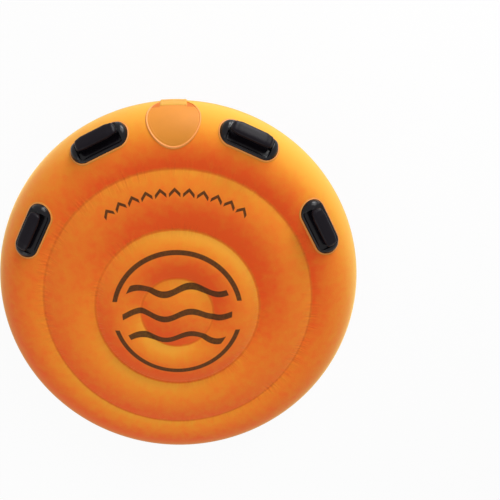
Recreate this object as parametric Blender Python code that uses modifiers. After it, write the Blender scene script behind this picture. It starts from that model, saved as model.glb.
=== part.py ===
"""Round towable deck tube, 1.22 m across when inflated.

A flocked top sheet and a printed bottom sheet are welded to three ring-shaped
baffles and to a tape at the rim. The ring carries four grab handles, a tow
hitch at +Y and an inflation valve low on the -Y side. The part lies on z = 0,
with the centre of its underside at the origin; +Z is up out of the deck.
"""
import math

import bmesh
import bpy
from mathutils import Matrix, Vector

OBJECT_NAME = "towable_deck_tube"

# Clearances shared by every piece
GAP = 0.0003
MERGE = 0.00005
OVERRUN = 0.02
OUTLINE_STEPS = 3

# Inflated body: an outer ring of round section round a quilted deck
OUTER_R = 0.610
RING_R = 0.122
FOOT_DEPTH = 0.0005
SHEET_T = 0.0009
RING_SEAM_INSET = 0.055
INNER_SEAM_SHARES = (0.6236, 0.2748)
SEAM_DEPTH = 0.022
LAND_W = 0.010
TAPE_HALF_W = 0.013
TAPE_T = 0.0008
BODY_STEPS = 40
RING_OUTER_STEPS = 4
RING_INNER_STEPS = 2
BULGE_STEPS = 2

# Baffles: webs with welded tabs and vent holes between the chambers
BAFFLE_T = 0.0008
BAFFLE_TAB_W = 0.009
BAFFLE_STEPS = (36, 28, 16)
VENT_COUNTS = (6, 4, 3)
VENT_R = 0.024
VENT_SIDES = 8

# Grab handles: weld patch, moulded pad, two end mounds, core cord and grip
HANDLE_L = 0.168
HANDLE_W = 0.068
PATCH_MARGIN = 0.005
WELD_T = 0.0008
PAD_T = 0.0030
WELD_SPAN_DEG = (-100.0, 118.0)
PAD_SPAN_DEG = (20.0, 119.0)
MOUND_INSET = 0.022
MOUND_SIDE = 0.008
MOUND_HALF_L = 0.020
MOUND_RISE = 0.0165
PIVOT_RISE = 0.0095
CORE_R = 0.0040
CORE_BEND_R = 0.0070
CORE_END_L = 0.006
FINGER_GAP = 0.013
GRIP_W = 0.034
GRIP_H = 0.015
GRIP_ROUND = 0.0066
HANDLE_PLACES_DEG = (
    ("handle_front_left", 112.0, 65.0),
    ("handle_front_right", 68.0, 65.0),
    ("handle_rear_left", 147.0, 84.0),
    ("handle_rear_right", 33.0, 84.0),
)

# Tow hitch at the front of the rim
HITCH_AZIMUTH_DEG = 90.0
TOP_PATCH_R = 0.074
TOP_PATCH_SECTION_DEG = 57.0
BAND_W = 0.072
BAND_T = 0.0010
BAND_SPAN_DEG = (-52.0, 36.0)
SADDLE_HALF_W = 0.165
SADDLE_HALF_H = 0.066
SADDLE_ARCH_Y = 0.022
SADDLE_SECTION_DEG = -33.0
SADDLE_OUTLINE_SHARES = (
    (0.34, -0.42),
    (0.56, -0.80),
    (0.80, -1.00),
    (0.99, -0.62),
    (0.92, 0.10),
    (0.66, 0.72),
)
BAR_W = 0.100
BAR_H = 0.012
BAR_T = 0.0040
BAR_SECTION_DEG = -42.0
BAR_SPAN_DEG = (-70.0, -10.0)
TOW_STRAP_W = 0.025
TOW_STRAP_T = 0.0020
TOW_PIVOT_SECTION_DEG = -24.0
TOW_TURN_DEG = 300.0
TOW_WIRE_R = 0.0025
TOW_RING_W = 0.044
TOW_RING_H = 0.040

# Inflation valve
VALVE_AZIMUTH_DEG = -77.3
VALVE_SECTION_DEG = -42.0
FLANGE_R = 0.031
FLANGE_T = 0.0016
FLANGE_SPAN_DEG = (-100.0, 0.0)
NECK_R = 0.0210
NECK_BORE_R = 0.0176
NECK_TOP = 0.0050
NECK_DEPTH = 0.0140
INSERT_R = 0.0172
INSERT_BORE_R = 0.0110
INSERT_DEPTH = 0.0120
SEAT_R = 0.0085
SEAT_T = 0.0020
COLLAR_R = 0.0200
COLLAR_T = 0.0024
SEAL_T = 0.0010
SEAL_W = 0.0024
CAP_R = 0.0190
CAP_T = 0.0040
CAP_PLUG_DEPTH = 0.0100
CAP_ROUND = 0.0010
CAP_LIFT = 0.00375
CAP_NOTCH_R = 0.0028
CAP_NOTCHES = 10
KNOB_R = 0.0040
KNOB_HEAD_R = 0.0062
KNOB_HEAD_T = 0.0015
TETHER_T = 0.0014
TETHER_W = 0.0060
TETHER_REACH = 0.0265
FLAP_R = 0.0103
FLAP_T = 0.0012
VALVE_STEPS = 16

RING_CENTRE_R = OUTER_R - RING_R
RING_SEAM_R = RING_CENTRE_R - RING_SEAM_INSET
SEAM_RADII = (RING_SEAM_R, *(RING_SEAM_R * share for share in INNER_SEAM_SHARES))
MOUND_X = HANDLE_L / 2.0 - MOUND_INSET
MOUND_HALF_W = HANDLE_W / 2.0 - MOUND_SIDE
GRIP_L = 2.0 * (MOUND_X - 2.0 * CORE_BEND_R)
MID_Z = RING_R - FOOT_DEPTH
WELD_TOP = GAP + WELD_T
PAD_TOP = WELD_TOP + GAP + PAD_T
BAND_TOP = WELD_TOP + GAP + BAND_T
FACE_CLEAR = 2.0 * GAP


# Scene and collections

def clear_scene():
    """Removes every object, so that the script starts from nothing."""
    for old in list(bpy.data.objects):
        bpy.data.objects.remove(old, do_unlink=True)


def new_collection(name):
    """A collection under the scene's own."""
    made = bpy.data.collections.new(name)
    bpy.context.scene.collection.children.link(made)
    return made


clear_scene()
PARTS = new_collection(OBJECT_NAME)
CUTTERS = new_collection(OBJECT_NAME + "_cutters")


# Materials

def material(name, colour, roughness, metallic=0.0):
    """A Principled BSDF with one colour."""
    made = bpy.data.materials.new(name)
    made.use_nodes = True
    shader = made.node_tree.nodes["Principled BSDF"]
    shader.inputs["Base Color"].default_value = (*colour, 1.0)
    shader.inputs["Roughness"].default_value = roughness
    shader.inputs["Metallic"].default_value = metallic
    return made


FLOCK = material("flocked_orange_pvc", (0.80, 0.22, 0.02), 0.85)
PRINT = material("printed_orange_pvc", (0.78, 0.19, 0.02), 0.25)
WEB = material("baffle_pvc", (0.70, 0.30, 0.10), 0.5)
SMOOTH_PVC = material("smooth_orange_pvc", (0.85, 0.30, 0.06), 0.35)
BLACK = material("moulded_black_pvc", (0.012, 0.012, 0.015), 0.22)
FOAM = material("soft_black_grip", (0.015, 0.015, 0.018), 0.35)
CLEAR = material("clear_pvc", (0.80, 0.62, 0.60), 0.15)
WEBBING = material("grey_webbing", (0.16, 0.17, 0.20), 0.8)
STEEL = material("stainless_steel", (0.55, 0.56, 0.58), 0.25, 1.0)
WHITE = material("white_valve_plastic", (0.80, 0.80, 0.78), 0.3)
RUBBER = material("soft_valve_rubber", (0.30, 0.30, 0.30), 0.6)


# Small tools

def place(obj, finish=None, parent=None, cutter=False):
    """Links an object to its collection and gives it its material and parent."""
    (CUTTERS if cutter else PARTS).objects.link(obj)
    if finish is not None:
        obj.data.materials.clear()
        obj.data.materials.append(finish)
    if parent is not None:
        obj.parent = parent
    if cutter:
        obj.hide_render = True
        obj.display_type = "WIRE"
    return obj


def frame_empty(name, matrix):
    """An empty that carries the pieces built in one local frame."""
    empty = bpy.data.objects.new(name, None)
    PARTS.objects.link(empty)
    empty.matrix_world = matrix
    bpy.context.view_layer.update()
    return empty


def turned(name, points, steps, closed=True):
    """A profile of (radius, height) points turned round Z by a Screw modifier."""
    mesh = bpy.data.meshes.new(name)
    edges = [(i, i + 1) for i in range(len(points) - 1)]
    if closed:
        edges.append((len(points) - 1, 0))
    mesh.from_pydata([(r, 0.0, z) for r, z in points], edges, [])
    obj = bpy.data.objects.new(name, mesh)
    screw = obj.modifiers.new("turn", "SCREW")
    screw.steps = steps
    screw.render_steps = steps
    screw.use_merge_vertices = True
    screw.merge_threshold = MERGE
    screw.use_smooth_shade = True
    return obj


def boolean(obj, cutter, operation):
    """Adds an exact Boolean and returns the object."""
    cut = obj.modifiers.new(operation.lower(), "BOOLEAN")
    cut.solver = "EXACT"
    cut.operation = operation
    cut.object = cutter
    return obj


def plain_mesh(obj):
    """Bakes an object's modifiers or curve into a welded mesh object."""
    bpy.context.view_layer.update()
    graph = bpy.context.evaluated_depsgraph_get()
    mesh = bpy.data.meshes.new_from_object(obj.evaluated_get(graph))
    work = bmesh.new()
    work.from_mesh(mesh)
    bmesh.ops.remove_doubles(work, verts=work.verts, dist=MERGE)
    bmesh.ops.recalc_face_normals(work, faces=work.faces)
    work.to_mesh(mesh)
    work.free()
    name, matrix = obj.name, obj.matrix_world.copy()
    bpy.data.objects.remove(obj, do_unlink=True)
    made = bpy.data.objects.new(name, mesh)
    made.matrix_world = matrix
    return made


def flat_solid(name, outline, thickness, rounded=False):
    """A closed outline of (x, y) points, straight or smooth, extruded evenly about z = 0."""
    curve = bpy.data.curves.new(name, "CURVE")
    curve.dimensions = "2D"
    curve.fill_mode = "BOTH"
    curve.extrude = thickness / 2.0
    curve.resolution_u = OUTLINE_STEPS
    if rounded:
        spline = curve.splines.new("BEZIER")
        spline.bezier_points.add(len(outline) - 1)
        for point, (x, y) in zip(spline.bezier_points, outline):
            point.co = (x, y, 0.0)
            point.handle_left_type = "AUTO"
            point.handle_right_type = "AUTO"
    else:
        spline = curve.splines.new("POLY")
        spline.points.add(len(outline) - 1)
        for point, (x, y) in zip(spline.points, outline):
            point.co = (x, y, 0.0, 1.0)
    spline.use_cyclic_u = True
    obj = bpy.data.objects.new(name, curve)
    bpy.context.scene.collection.objects.link(obj)
    return plain_mesh(obj)


def wire(name, points, radius, cyclic=False):
    """A round wire through a list of points."""
    curve = bpy.data.curves.new(name, "CURVE")
    curve.dimensions = "3D"
    curve.bevel_depth = radius
    curve.bevel_resolution = 2
    curve.use_fill_caps = not cyclic
    spline = curve.splines.new("POLY")
    spline.points.add(len(points) - 1)
    for point, co in zip(spline.points, points):
        point.co = (*co, 1.0)
    spline.use_cyclic_u = cyclic
    obj = bpy.data.objects.new(name, curve)
    bpy.context.scene.collection.objects.link(obj)
    return plain_mesh(obj)


def cylinder(name, radius, depth, sides, matrix=Matrix.Identity(4)):
    """A capped cylinder along Z, moved by a matrix that is baked in."""
    mesh = bpy.data.meshes.new(name)
    work = bmesh.new()
    bmesh.ops.create_cone(
        work, cap_ends=True, segments=sides, radius1=radius, radius2=radius, depth=depth
    )
    bmesh.ops.transform(work, matrix=matrix, verts=work.verts)
    work.to_mesh(mesh)
    work.free()
    return bpy.data.objects.new(name, mesh)


def block(name, size, centre):
    """A box of a given size about a centre."""
    mesh = bpy.data.meshes.new(name)
    work = bmesh.new()
    bmesh.ops.create_cube(work, size=1.0)
    bmesh.ops.scale(work, vec=size, verts=work.verts)
    bmesh.ops.translate(work, vec=centre, verts=work.verts)
    work.to_mesh(mesh)
    work.free()
    return bpy.data.objects.new(name, mesh)


def arc(centre, radius, start, end, steps):
    """Points of a circular arc in a plane, its two ends included; angles in radians."""
    angles = [start + (end - start) * i / steps for i in range(steps + 1)]
    return [
        (centre[0] + radius * math.cos(a), centre[1] + radius * math.sin(a))
        for a in angles
    ]


def pill(length, width, steps):
    """Outline of a bar with round ends, its long axis on X."""
    reach = (length - width) / 2.0
    quarter = math.pi / 2.0
    right = arc((reach, 0.0), width / 2.0, -quarter, quarter, steps)
    left = arc((-reach, 0.0), width / 2.0, quarter, 3.0 * quarter, steps)
    return right + left


def smooth(obj, angle=40.0):
    """Shades an object smooth, with sharp edges past an angle."""
    obj.data.shade_smooth()
    obj.data.set_sharp_from_angle(angle=math.radians(angle))
    return obj


# The ring's section, which every piece on it follows

def foot_half_angle(radius):
    """Half the angle of the flat that a cut of the foot's depth leaves on an arc."""
    return math.acos(1.0 - FOOT_DEPTH / radius)


def crest_radius(width, drop_out, drop_in):
    """Radius of the arc that rises from two seams and touches the crest between them."""
    low = max(drop_out, drop_in)
    high = low + width * width / min(drop_out, drop_in)
    for _ in range(80):
        radius = (low + high) / 2.0
        span = sum(math.sqrt(2.0 * radius * d - d * d) for d in (drop_out, drop_in))
        if span < width:
            low = radius
        else:
            high = radius
    return radius


def ring_angles():
    """Section angles of the ring's facets, from the equator up to the first seam."""
    tape = math.asin(TAPE_HALF_W / RING_R)
    foot = foot_half_angle(RING_R)
    before = math.pi / 2.0 - foot
    after = math.pi / 2.0 + foot
    reach = RING_CENTRE_R - SEAM_RADII[0] - LAND_W / 2.0
    seam = math.pi / 2.0 + math.asin(reach / RING_R)
    outer = [tape + (before - tape) * i / RING_OUTER_STEPS for i in range(RING_OUTER_STEPS + 1)]
    inner = [after + (seam - after) * i / RING_INNER_STEPS for i in range(RING_INNER_STEPS + 1)]
    return [0.0] + outer + inner


def ring_point(angle, offset):
    """A point off the ring's surface, as a radius and a height over the middle plane."""
    radius = RING_R + offset
    return (RING_CENTRE_R + radius * math.cos(angle), radius * math.sin(angle))


def seam_heights():
    """Height over the middle plane at which the sheet meets each baffle."""
    reach = RING_CENTRE_R - SEAM_RADII[0] - LAND_W / 2.0
    first = math.sqrt(RING_R ** 2 - reach ** 2)
    return (first, RING_R - SEAM_DEPTH, RING_R - SEAM_DEPTH)


def bulge(r_out, h_out, r_in, h_in):
    """Facets of one quilted channel between two seams, flat on top like the ring."""
    radius = crest_radius(r_out - r_in, RING_R - h_out, RING_R - h_in)
    centre_h = RING_R - radius
    centre_r = r_out - math.sqrt(radius ** 2 - (h_out - centre_h) ** 2)
    foot = foot_half_angle(radius)
    start = math.acos((r_out - centre_r) / radius)
    end = math.acos((r_in - centre_r) / radius)
    quarter = math.pi / 2.0
    rise = arc((centre_r, centre_h), radius, start, quarter - foot, BULGE_STEPS)
    fall = arc((centre_r, centre_h), radius, quarter + foot, end, BULGE_STEPS)
    return rise + fall


def dome(r_out, h_out):
    """Facets of the middle of the deck, from its seam to the axis."""
    drop = RING_R - h_out
    radius = (r_out ** 2 + drop ** 2) / (2.0 * drop)
    centre_h = RING_R - radius
    foot = foot_half_angle(radius)
    start = math.acos(r_out / radius)
    rise = arc((0.0, centre_h), radius, start, math.pi / 2.0 - foot, BULGE_STEPS)
    return rise + [(0.0, RING_R - FOOT_DEPTH)]


def sheet_profile():
    """One sheet's outline from the rim to the axis, over the middle plane."""
    heights = seam_heights()
    half_land = LAND_W / 2.0
    points = [ring_point(a, 0.0) for a in ring_angles()]
    points[0] = (points[0][0], GAP / 2.0)
    for (r, h), (next_r, next_h) in zip(
        zip(SEAM_RADII, heights), zip(SEAM_RADII[1:], heights[1:])
    ):
        points += bulge(r - half_land, h, next_r + half_land, next_h)
    points += dome(SEAM_RADII[-1] - half_land, heights[-1])
    return points


def facet_point(angle, offset):
    """A point on the faceted ring, pushed out by an offset, at any section angle."""
    angles = ring_angles()
    size = abs(angle)
    below = max(a for a in angles if a <= size)
    above = min((a for a in angles if a > size), default=below)
    middle = (below + above) / 2.0
    radius = (RING_R + offset) * math.cos((above - below) / 2.0) / math.cos(size - middle)
    return (RING_CENTRE_R + radius * math.cos(angle), radius * math.sin(angle))


def ring_layer(name, low, high, span):
    """A cutter that fills the space between two offsets and two section angles of the ring."""
    start, end = (math.radians(angle) for angle in span)
    angles = [-a for a in reversed(ring_angles())] + ring_angles()[1:]
    kept = [start] + [a for a in angles if start < a < end] + [end]
    outer = [facet_point(a, high) for a in reversed(kept)]
    inner = [facet_point(a, low) for a in kept]
    points = [(r, MID_Z + h) for r, h in outer + inner]
    return place(turned(name, points, BODY_STEPS), cutter=True)


def ring_core(name, offset):
    """A cutter that fills the ring out to an offset from its faceted surface."""
    angles = [-a for a in reversed(ring_angles())] + ring_angles()[1:]
    outer = [ring_point(a, offset) for a in reversed(angles)]
    points = [(r, MID_Z + h) for r, h in outer]
    return place(turned(name, points, BODY_STEPS), cutter=True)


def ring_frame(azimuth, section):
    """Frame on the ring's surface: X runs along the ring and Z points out of it."""
    az = math.radians(azimuth)
    up = math.radians(section)
    out = Vector((math.cos(az) * math.cos(up), math.sin(az) * math.cos(up), math.sin(up)))
    along = Vector((-math.sin(az), math.cos(az), 0.0))
    across = out.cross(along)
    centre = Vector((RING_CENTRE_R * math.cos(az), RING_CENTRE_R * math.sin(az), MID_Z))
    frame = Matrix((along, across, out)).transposed().to_4x4()
    frame.translation = centre + out * RING_R
    return frame


# Inflated body

def make_sheets():
    """The flocked top sheet and the printed bottom sheet, open shells that meet at the rim."""
    profile = sheet_profile()
    top = turned("top_sheet", [(r, MID_Z + h) for r, h in reversed(profile)], BODY_STEPS, False)
    low = turned("bottom_sheet", [(r, MID_Z - h) for r, h in profile], BODY_STEPS, False)
    for sheet, finish in ((top, FLOCK), (low, PRINT)):
        place(sheet, finish)
        wall = sheet.modifiers.new("wall", "SOLIDIFY")
        wall.thickness = SHEET_T
        wall.offset = -1.0
        wall.use_even_offset = True
    return top, low


def make_rim_tape():
    """The tape inside the rim that joins the two sheets."""
    angles = [ring_angles()[1], 0.0, -ring_angles()[1]]
    outer = [ring_point(a, -SHEET_T - GAP) for a in angles]
    inner = [ring_point(a, -SHEET_T - GAP - TAPE_T) for a in reversed(angles)]
    points = [(r, MID_Z + h) for r, h in outer + inner]
    return place(turned("rim_weld_tape", points, BODY_STEPS), WEB)


def make_baffle(name, radius, height, steps, vents):
    """A ring-shaped web with a welded tab at its top and foot, and vent holes."""
    top = height - SHEET_T - GAP
    half_tab = BAFFLE_TAB_W / 2.0
    half_web = BAFFLE_T / 2.0
    outer, inner = radius + half_tab, radius - half_web
    web = radius + half_web
    points = [
        (outer, MID_Z + top),
        (outer, MID_Z + top - BAFFLE_T),
        (web, MID_Z + top - BAFFLE_T),
        (web, MID_Z - top + BAFFLE_T),
        (outer, MID_Z - top + BAFFLE_T),
        (outer, MID_Z - top),
        (inner, MID_Z - top),
        (inner, MID_Z + top),
    ]
    baffle = place(turned(name, points, steps), WEB)
    for i in range(vents):
        turn = Matrix.Rotation(math.tau * (i + 0.5) / vents, 4, "Z")
        lift = Matrix.Translation((radius, 0.0, MID_Z))
        lie = Matrix.Rotation(math.pi / 2.0, 4, "Y")
        hole = cylinder(f"{name}_vent_{i}", VENT_R, BAFFLE_TAB_W, VENT_SIDES, turn @ lift @ lie)
        boolean(baffle, place(hole, cutter=True), "DIFFERENCE")
    return baffle


# Grab handles

def core_path():
    """The core cord's centre line in the handle's frame, from socket to socket."""
    low = PIVOT_RISE
    high = PAD_TOP + FINGER_GAP + GRIP_H / 2.0
    bend = CORE_BEND_R
    foot_x = MOUND_X - FACE_CLEAR
    quarter = math.pi / 2.0
    lower = arc((foot_x, low + bend), bend, -quarter, -2.0 * quarter, 3)
    upper = arc((foot_x - 2.0 * bend, high - bend), bend, 0.0, quarter, 3)
    half = [(MOUND_X + CORE_END_L, low)] + lower + upper
    mirrored = [(-x, z) for x, z in reversed(half)]
    return [(x, 0.0, z) for x, z in half + mirrored]


def make_mounds(name, parent, ring_cut):
    """The two moulded end mounds, each with a socket for the core's end."""
    inner = block(
        name + "_face",
        (2.0 * MOUND_X, HANDLE_W, 4.0 * MOUND_RISE),
        (0.0, 0.0, 0.0),
    )
    lie = Matrix.Rotation(math.pi / 2.0, 4, "Y")
    lift = Matrix.Translation((0.0, 0.0, PIVOT_RISE))
    reach = 2.0 * (MOUND_X + CORE_END_L + GAP)
    socket = cylinder(name + "_socket", CORE_R + GAP, reach, 12, lift @ lie)
    place(inner, parent=parent, cutter=True)
    place(socket, parent=parent, cutter=True)
    for end, side in (("a", 1), ("b", -1)):
        mesh = bpy.data.meshes.new(name)
        work = bmesh.new()
        bmesh.ops.create_uvsphere(work, u_segments=16, v_segments=8, radius=1.0)
        size = Vector((MOUND_HALF_L, MOUND_HALF_W, MOUND_RISE))
        bmesh.ops.scale(work, vec=size, verts=work.verts)
        bmesh.ops.translate(work, vec=(side * MOUND_X, 0.0, 0.0), verts=work.verts)
        work.to_mesh(mesh)
        work.free()
        mound = bpy.data.objects.new(f"{name}_mound_{end}", mesh)
        place(mound, BLACK, parent)
        boolean(mound, ring_cut, "DIFFERENCE")
        boolean(mound, inner, "DIFFERENCE")
        boolean(mound, socket, "DIFFERENCE")
        smooth(mound)


def make_handle(name, azimuth, section, weld_layer, pad_layer, ring_cut):
    """One grab handle: the fixed pieces on its frame, the grip on its pivot."""
    frame = frame_empty(name + "_frame", ring_frame(azimuth, section))
    depth = 4.0 * OVERRUN
    weld = flat_solid(
        name + "_patch",
        pill(HANDLE_L + 2.0 * PATCH_MARGIN, HANDLE_W + 2.0 * PATCH_MARGIN, 8),
        depth,
    )
    boolean(place(weld, SMOOTH_PVC, frame), weld_layer, "INTERSECT")
    pad = flat_solid(name + "_pad", pill(HANDLE_L, HANDLE_W, 8), depth)
    boolean(place(pad, BLACK, frame), pad_layer, "INTERSECT")
    make_mounds(name, frame, ring_cut)
    pivot = frame_empty(name + "_pivot", frame.matrix_world @ Matrix.Translation((0, 0, PIVOT_RISE)))
    path = [(x, y, z - PIVOT_RISE) for x, y, z in core_path()]
    core = wire(name + "_core", path, CORE_R)
    smooth(place(core, BLACK, pivot))
    rise = PAD_TOP + FINGER_GAP + GRIP_H / 2.0 - PIVOT_RISE
    grip = block(name + "_grip", (GRIP_L, GRIP_W, GRIP_H), (0.0, 0.0, rise))
    place(grip, FOAM, pivot)
    edge = grip.modifiers.new("edge", "BEVEL")
    edge.width = GRIP_ROUND
    edge.segments = 2
    lie = Matrix.Translation((0.0, 0.0, rise)) @ Matrix.Rotation(math.pi / 2.0, 4, "Y")
    bore = cylinder(name + "_bore", CORE_R + GAP, GRIP_L + OVERRUN, 12, lie)
    boolean(grip, place(bore, parent=pivot, cutter=True), "DIFFERENCE")
    smooth(grip)


# Tow hitch

def saddle_outline():
    """Outline of the underside patch: two round lobes either side of an arched edge."""
    right = [
        (SADDLE_HALF_W * x, SADDLE_HALF_H * y) for x, y in SADDLE_OUTLINE_SHARES
    ]
    left = [(-x, y) for x, y in reversed(right)]
    return [(0.0, -SADDLE_ARCH_Y)] + right + [(0.0, SADDLE_HALF_H)] + left


def tow_strap_path():
    """Side view of the webbing: along the ring from the bar, then round the ring's bar."""
    lie = BAND_TOP + GAP + TOW_STRAP_T
    start = math.radians(BAR_SECTION_DEG) + (BAR_H / 2.0 + GAP) / RING_R
    pivot = math.radians(TOW_PIVOT_SECTION_DEG)
    eye = TOW_WIRE_R + GAP + TOW_STRAP_T
    on_ring = [
        ring_point(start + (pivot - start) * i / 3, lie) for i in range(3)
    ]
    centre = ring_point(pivot, lie + eye)
    first = pivot - math.pi
    turn = arc(centre, eye, first, first + math.radians(TOW_TURN_DEG), 9)
    return [(r, MID_Z + h) for r, h in on_ring + turn], centre


def make_tow_strap():
    """The webbing that runs from the bar to the steel ring and round its straight side."""
    path, _ = tow_strap_path()
    half = TOW_STRAP_W / 2.0
    mesh = bpy.data.meshes.new("tow_strap")
    work = bmesh.new()
    rows = [[work.verts.new((x, y, z)) for x in (-half, half)] for y, z in path]
    for a, b in zip(rows, rows[1:]):
        work.faces.new((a[0], a[1], b[1], b[0]))
    work.to_mesh(mesh)
    work.free()
    strap = place(bpy.data.objects.new("tow_strap", mesh), WEBBING)
    wall = strap.modifiers.new("wall", "SOLIDIFY")
    wall.thickness = TOW_STRAP_T
    wall.offset = 1.0
    wall.use_even_offset = True
    return strap


def make_tow_ring():
    """The steel D ring, hanging from its straight side."""
    _, (y, h) = tow_strap_path()
    pivot = frame_empty("tow_ring_pivot", Matrix.Translation((0.0, y, MID_Z + h)))
    half = TOW_RING_W / 2.0
    corner = 2.0 * TOW_WIRE_R
    bow_y = half - TOW_RING_H
    quarter = math.pi / 2.0
    right = arc((half - corner, -corner), corner, quarter, 0.0, 3)
    bow = arc((0.0, bow_y), half, 0.0, -2.0 * quarter, 9)
    left = arc((corner - half, -corner), corner, 2.0 * quarter, quarter, 3)
    points = [(x, 0.0, z) for x, z in right + bow + left]
    ring = wire("tow_ring", points, TOW_WIRE_R, cyclic=True)
    return smooth(place(ring, STEEL, pivot))


def make_hitch(weld_layer, band_layer, bar_layer):
    """Round top patch, underside patch, band over the rim, bar, webbing and steel ring."""
    depth = 2.0 * RING_R
    frame = frame_empty("top_patch_frame", ring_frame(HITCH_AZIMUTH_DEG, TOP_PATCH_SECTION_DEG))
    patch = cylinder("top_tow_patch", TOP_PATCH_R, depth, 32)
    boolean(place(patch, SMOOTH_PVC, frame), weld_layer, "INTERSECT")

    frame = frame_empty("underside_frame", ring_frame(HITCH_AZIMUTH_DEG, SADDLE_SECTION_DEG))
    saddle = flat_solid("underside_tow_patch", saddle_outline(), depth, rounded=True)
    boolean(place(saddle, SMOOTH_PVC, frame), weld_layer, "INTERSECT")

    band = block(
        "tow_band",
        (BAND_W, 2.0 * RING_R, 2.0 * (RING_R + OVERRUN)),
        (0.0, RING_CENTRE_R + RING_R, MID_Z),
    )
    boolean(place(band, SMOOTH_PVC), band_layer, "INTERSECT")

    frame = frame_empty("bar_frame", ring_frame(HITCH_AZIMUTH_DEG, BAR_SECTION_DEG))
    bar = flat_solid("tow_anchor_bar", pill(BAR_W, BAR_H, 4), 2.0 * OVERRUN)
    boolean(place(bar, CLEAR, frame), bar_layer, "INTERSECT")
    make_tow_strap()
    make_tow_ring()


# Inflation valve

def make_valve(bottom_sheet, flange_layer):
    """Flange with neck, screwed insert, seals, flap, cap and tether."""
    frame = frame_empty("valve_frame", ring_frame(VALVE_AZIMUTH_DEG, VALVE_SECTION_DEG))
    hole = cylinder("valve_hole", NECK_R + GAP, 2.0 * OVERRUN, VALVE_STEPS)
    boolean(bottom_sheet, place(hole, parent=frame, cutter=True), "DIFFERENCE")

    disc = cylinder("valve_flange_disc", FLANGE_R, 2.0 * OVERRUN, VALVE_STEPS)
    boolean(place(disc, parent=frame, cutter=True), flange_layer, "INTERSECT")
    neck_l = NECK_DEPTH + NECK_TOP
    lift = Matrix.Translation((0.0, 0.0, NECK_TOP - neck_l / 2.0))
    neck = cylinder("valve_flange", NECK_R, neck_l, VALVE_STEPS, lift)
    place(neck, WHITE, frame)
    boolean(neck, disc, "UNION")
    bore = cylinder("valve_neck_bore", NECK_BORE_R, 4.0 * OVERRUN, VALVE_STEPS)
    boolean(neck, place(bore, parent=frame, cutter=True), "DIFFERENCE")

    seal_low = NECK_TOP + GAP
    seal_high = seal_low + SEAL_T
    seal = turned(
        "valve_seal",
        [
            (COLLAR_R, seal_high),
            (COLLAR_R, seal_low),
            (COLLAR_R - SEAL_W, seal_low),
            (COLLAR_R - SEAL_W, seal_high),
        ],
        VALVE_STEPS,
    )
    place(seal, RUBBER, frame)

    collar_low = seal_high + GAP
    collar_high = collar_low + COLLAR_T
    insert = turned(
        "valve_insert",
        [
            (COLLAR_R, collar_high),
            (COLLAR_R, collar_low),
            (INSERT_R, collar_low),
            (INSERT_R, -INSERT_DEPTH),
            (SEAT_R, -INSERT_DEPTH),
            (SEAT_R, SEAT_T - INSERT_DEPTH),
            (INSERT_BORE_R, SEAT_T - INSERT_DEPTH),
            (INSERT_BORE_R, collar_high),
        ],
        VALVE_STEPS,
    )
    place(insert, WHITE, frame)

    flap_top = -INSERT_DEPTH - GAP
    hinge = frame_empty(
        "valve_flap_hinge", frame.matrix_world @ Matrix.Translation((0.0, -FLAP_R, flap_top))
    )
    shift = Matrix.Translation((0.0, FLAP_R, -FLAP_T / 2.0))
    flap = cylinder("valve_flap", FLAP_R, FLAP_T, VALVE_STEPS, shift)
    place(flap, RUBBER, hinge)

    gasket_low = collar_high + GAP
    gasket_high = gasket_low + SEAL_T
    gasket_in = INSERT_BORE_R + GAP
    gasket = turned(
        "cap_gasket",
        [
            (gasket_in + 2.0 * SEAL_W, gasket_high),
            (gasket_in + 2.0 * SEAL_W, gasket_low),
            (gasket_in, gasket_low),
            (gasket_in, gasket_high),
        ],
        VALVE_STEPS,
    )
    place(gasket, RUBBER, frame)

    cap_low = gasket_high + GAP
    cap_high = cap_low + CAP_T
    plug_r = INSERT_BORE_R - GAP
    groove = CAP_LIFT + TETHER_T + 2.0 * GAP
    head_low = cap_high + groove
    cap = turned(
        "valve_cap",
        [
            (0.0, head_low + KNOB_HEAD_T),
            (KNOB_HEAD_R, head_low + KNOB_HEAD_T),
            (KNOB_HEAD_R, head_low),
            (KNOB_R, head_low),
            (KNOB_R, cap_high),
            (CAP_R - CAP_ROUND, cap_high),
            (CAP_R, cap_high - CAP_ROUND),
            (CAP_R, cap_low),
            (plug_r, cap_low),
            (plug_r, cap_low - CAP_PLUG_DEPTH),
            (0.0, cap_low - CAP_PLUG_DEPTH),
        ],
        2 * CAP_NOTCHES,
        False,
    )
    place(cap, WHITE, frame)
    for i in range(CAP_NOTCHES):
        turn = Matrix.Rotation(math.tau * i / CAP_NOTCHES, 4, "Z")
        out = Matrix.Translation((CAP_R + CAP_NOTCH_R / 2.0, 0.0, (cap_high + cap_low) / 2.0))
        notch = cylinder(f"cap_notch_{i}", CAP_NOTCH_R, 2.0 * CAP_T, 6, turn @ out)
        boolean(cap, place(notch, parent=frame, cutter=True), "DIFFERENCE")

    make_tether(frame, head_low - GAP - TETHER_T)
    return frame


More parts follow.
